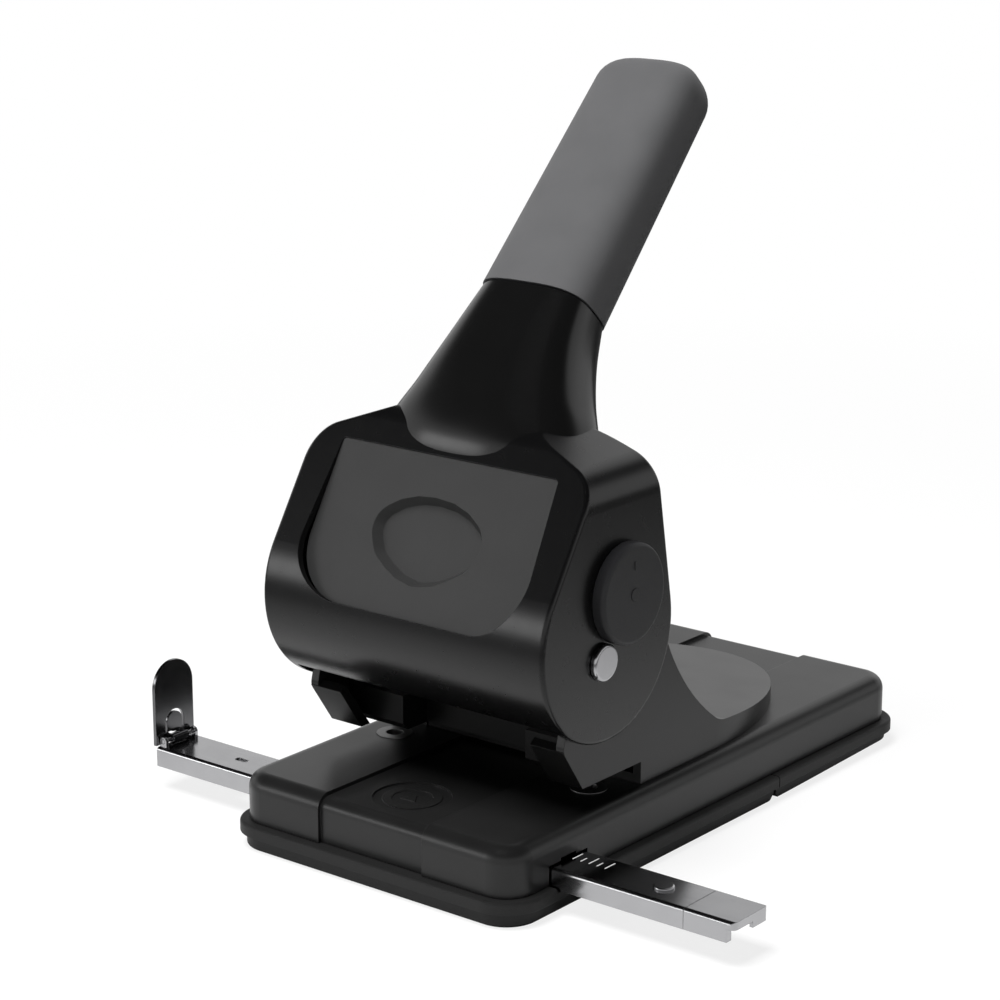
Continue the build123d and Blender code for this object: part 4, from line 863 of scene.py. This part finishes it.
def make_lamp(name, place, size, power, mirrored):
    """A soft box aimed at the punch."""
    data = bpy.data.lights.new(name, "AREA")
    data.shape = "RECTANGLE"
    data.size, data.size_y = size
    data.energy = power
    lamp = bpy.data.objects.new(name, data)
    lamp.location = place
    lamp.visible_glossy = mirrored
    lamp.rotation_euler = (AIM - Vector(place)).to_track_quat("-Z", "Y").to_euler()
    bpy.context.scene.collection.objects.link(lamp)


def make_floor():
    """A wide white floor that the camera sees as white but for the punch's shadow."""
    corners = [(x * FLOOR_REACH, y * FLOOR_REACH, 0) for x, y in ((-1, -1), (1, -1), (1, 1), (-1, 1))]
    mesh = bpy.data.meshes.new("studio_floor")
    mesh.from_pydata(corners, [], [(0, 1, 2, 3)])
    floor = bpy.data.objects.new("studio_floor", mesh)
    floor.location.z = -FLOOR_DROP
    bpy.context.scene.collection.objects.link(floor)
    finish = Finish("floor_white")
    camera = finish.path("Is Camera Ray")
    away = finish.node("ShaderNodeVectorMath", {"operation": "LENGTH"}, {0: finish.place}, out="Value")
    shade = finish.mix(camera, finish.ramp(away, FLOOR_BACK), FLOOR_COLOUR)
    lit = {"Base Color": shade, "Roughness": 0.7, "Specular IOR Level": 0.1}
    plain = finish.node("ShaderNodeBsdfPrincipled", {}, lit)
    white = finish.node("ShaderNodeEmission", {}, {"Color": WHITE, "Strength": 1.0})
    glow = finish.ramp(away, FLOOR_GLOW)
    mixed = finish.node("ShaderNodeMixShader", {}, {0: camera * glow, 1: plain, 2: white})
    finish.node("ShaderNodeOutputMaterial", {}, {"Surface": mixed})
    mesh.materials.append(finish.material)


# Brightness of the mirrored sky by its height, from the horizon at 0 to overhead at 1
SKY = ((0.0, WHITE), (0.38, WHITE), (0.5, grey(0.02)))

# A soft box behind that only shows in what mirrors it: its direction, and its edge by the cosine to it
BOX_TOWARDS = (-0.17, 0.78, 0.6)
BOX_EDGE = ((0.93, grey(0.0)), (0.98, WHITE))


def make_world(strength):
    """White to the camera, a horizon and a soft box to what mirrors it, and even light for the rest."""
    world = bpy.data.worlds.new("studio_world")
    world.use_nodes = True
    sky = Shader(world.node_tree)
    place = sky.node("ShaderNodeTexCoord", out="Generated")
    height = sky.node("ShaderNodeSeparateXYZ", {}, {0: place}, out="Z")
    band = sky.ramp(height, SKY)
    towards = {0: place, 1: BOX_TOWARDS}
    near = sky.node("ShaderNodeVectorMath", {"operation": "DOT_PRODUCT"}, towards, out="Value")
    box = sky.ramp(near, BOX_EDGE)
    even = sky.node("ShaderNodeBackground", {}, {"Color": WHITE, "Strength": strength})
    both = sky.mix(1.0, band, box, "ADD")
    mirrored = sky.node("ShaderNodeBackground", {}, {"Color": both, "Strength": 1.0})
    white = sky.node("ShaderNodeBackground", {}, {"Color": WHITE, "Strength": 1.0})
    lower = sky.node("ShaderNodeMixShader", {}, {0: sky.path("Is Glossy Ray"), 1: even, 2: mirrored})
    seen = sky.sum("MAXIMUM", sky.path("Is Camera Ray"), sky.path("Is Transmission Ray"))
    full = sky.node("ShaderNodeMixShader", {}, {0: seen, 1: lower, 2: white})
    sky.node("ShaderNodeOutputWorld", {}, {"Surface": full})
    bpy.context.scene.world = world


def make_camera(studio):
    """A camera at the photograph's angle, aimed at a target above the base."""
    data = bpy.data.cameras.new("photo_camera")
    data.lens = studio.lens
    data.sensor_width = 36.0
    data.clip_start, data.clip_end = 0.01, 50.0
    camera = bpy.data.objects.new("photo_camera", data)
    level, rise = math.cos(studio.elevation), math.sin(studio.elevation)
    back = Vector((math.sin(studio.azimuth) * level, -math.cos(studio.azimuth) * level, rise))
    target = Vector((studio.target_x, 0.0, studio.target_z))
    camera.location = target + back * studio.distance
    camera.rotation_euler = (-back).to_track_quat("-Z", "Y").to_euler()
    bpy.context.scene.collection.objects.link(camera)
    bpy.context.scene.camera = camera


class PUNCH_OT_stage(bpy.types.Operator):
    """Make the floor, the lights and the camera"""

    bl_idname = "punch.stage"
    bl_label = "Stage"

    def execute(self, context):
        studio = context.scene.punch_studio
        make_floor()
        make_world(studio.world)
        make_camera(studio)
        for lamp in LAMPS:
            make_lamp(*lamp)
        context.scene.view_settings.view_transform = "Standard"
        return {"FINISHED"}


class PUNCH_PT_panel(bpy.types.Panel):
    """Lists the steps that dress the punch"""

    bl_idname = "PUNCH_PT_panel"
    bl_label = "Hole Punch"
    bl_space_type = "VIEW_3D"
    bl_region_type = "UI"
    bl_category = "Hole Punch"

    def draw(self, context):
        for step in STEPS:
            self.layout.operator(step.bl_idname)


STEPS = (
    PUNCH_OT_base,
    PUNCH_OT_works,
    PUNCH_OT_springs,
    PUNCH_OT_casing,
    PUNCH_OT_panel,
    PUNCH_OT_neck,
    PUNCH_OT_sleeve,
    PUNCH_OT_caps,
    PUNCH_OT_bar,
    PUNCH_OT_stage,
)
GROUPS = {
    "punch_colours": PunchColours,
    "punch_panel": PunchPanel,
    "punch_handle": PunchHandle,
    "punch_marks": PunchMarks,
    "punch_studio": PunchStudio,
}


def register():
    """Tells Blender of the properties, the steps and the panel."""
    for cls in (*GROUPS.values(), *STEPS, PUNCH_PT_panel):
        bpy.utils.register_class(cls)
    for name, group in GROUPS.items():
        setattr(bpy.types.Scene, name, PointerProperty(type=group))


def unregister():
    """Takes back what register told."""
    for name in GROUPS:
        delattr(bpy.types.Scene, name)
    for cls in (PUNCH_PT_panel, *reversed(STEPS), *GROUPS.values()):
        bpy.utils.unregister_class(cls)


def main():
    """Runs the steps in order."""
    register()
    for step in STEPS:
        group, name = step.bl_idname.split(".")
        getattr(getattr(bpy.ops, group), name)()


if __name__ == "__main__":
    main()
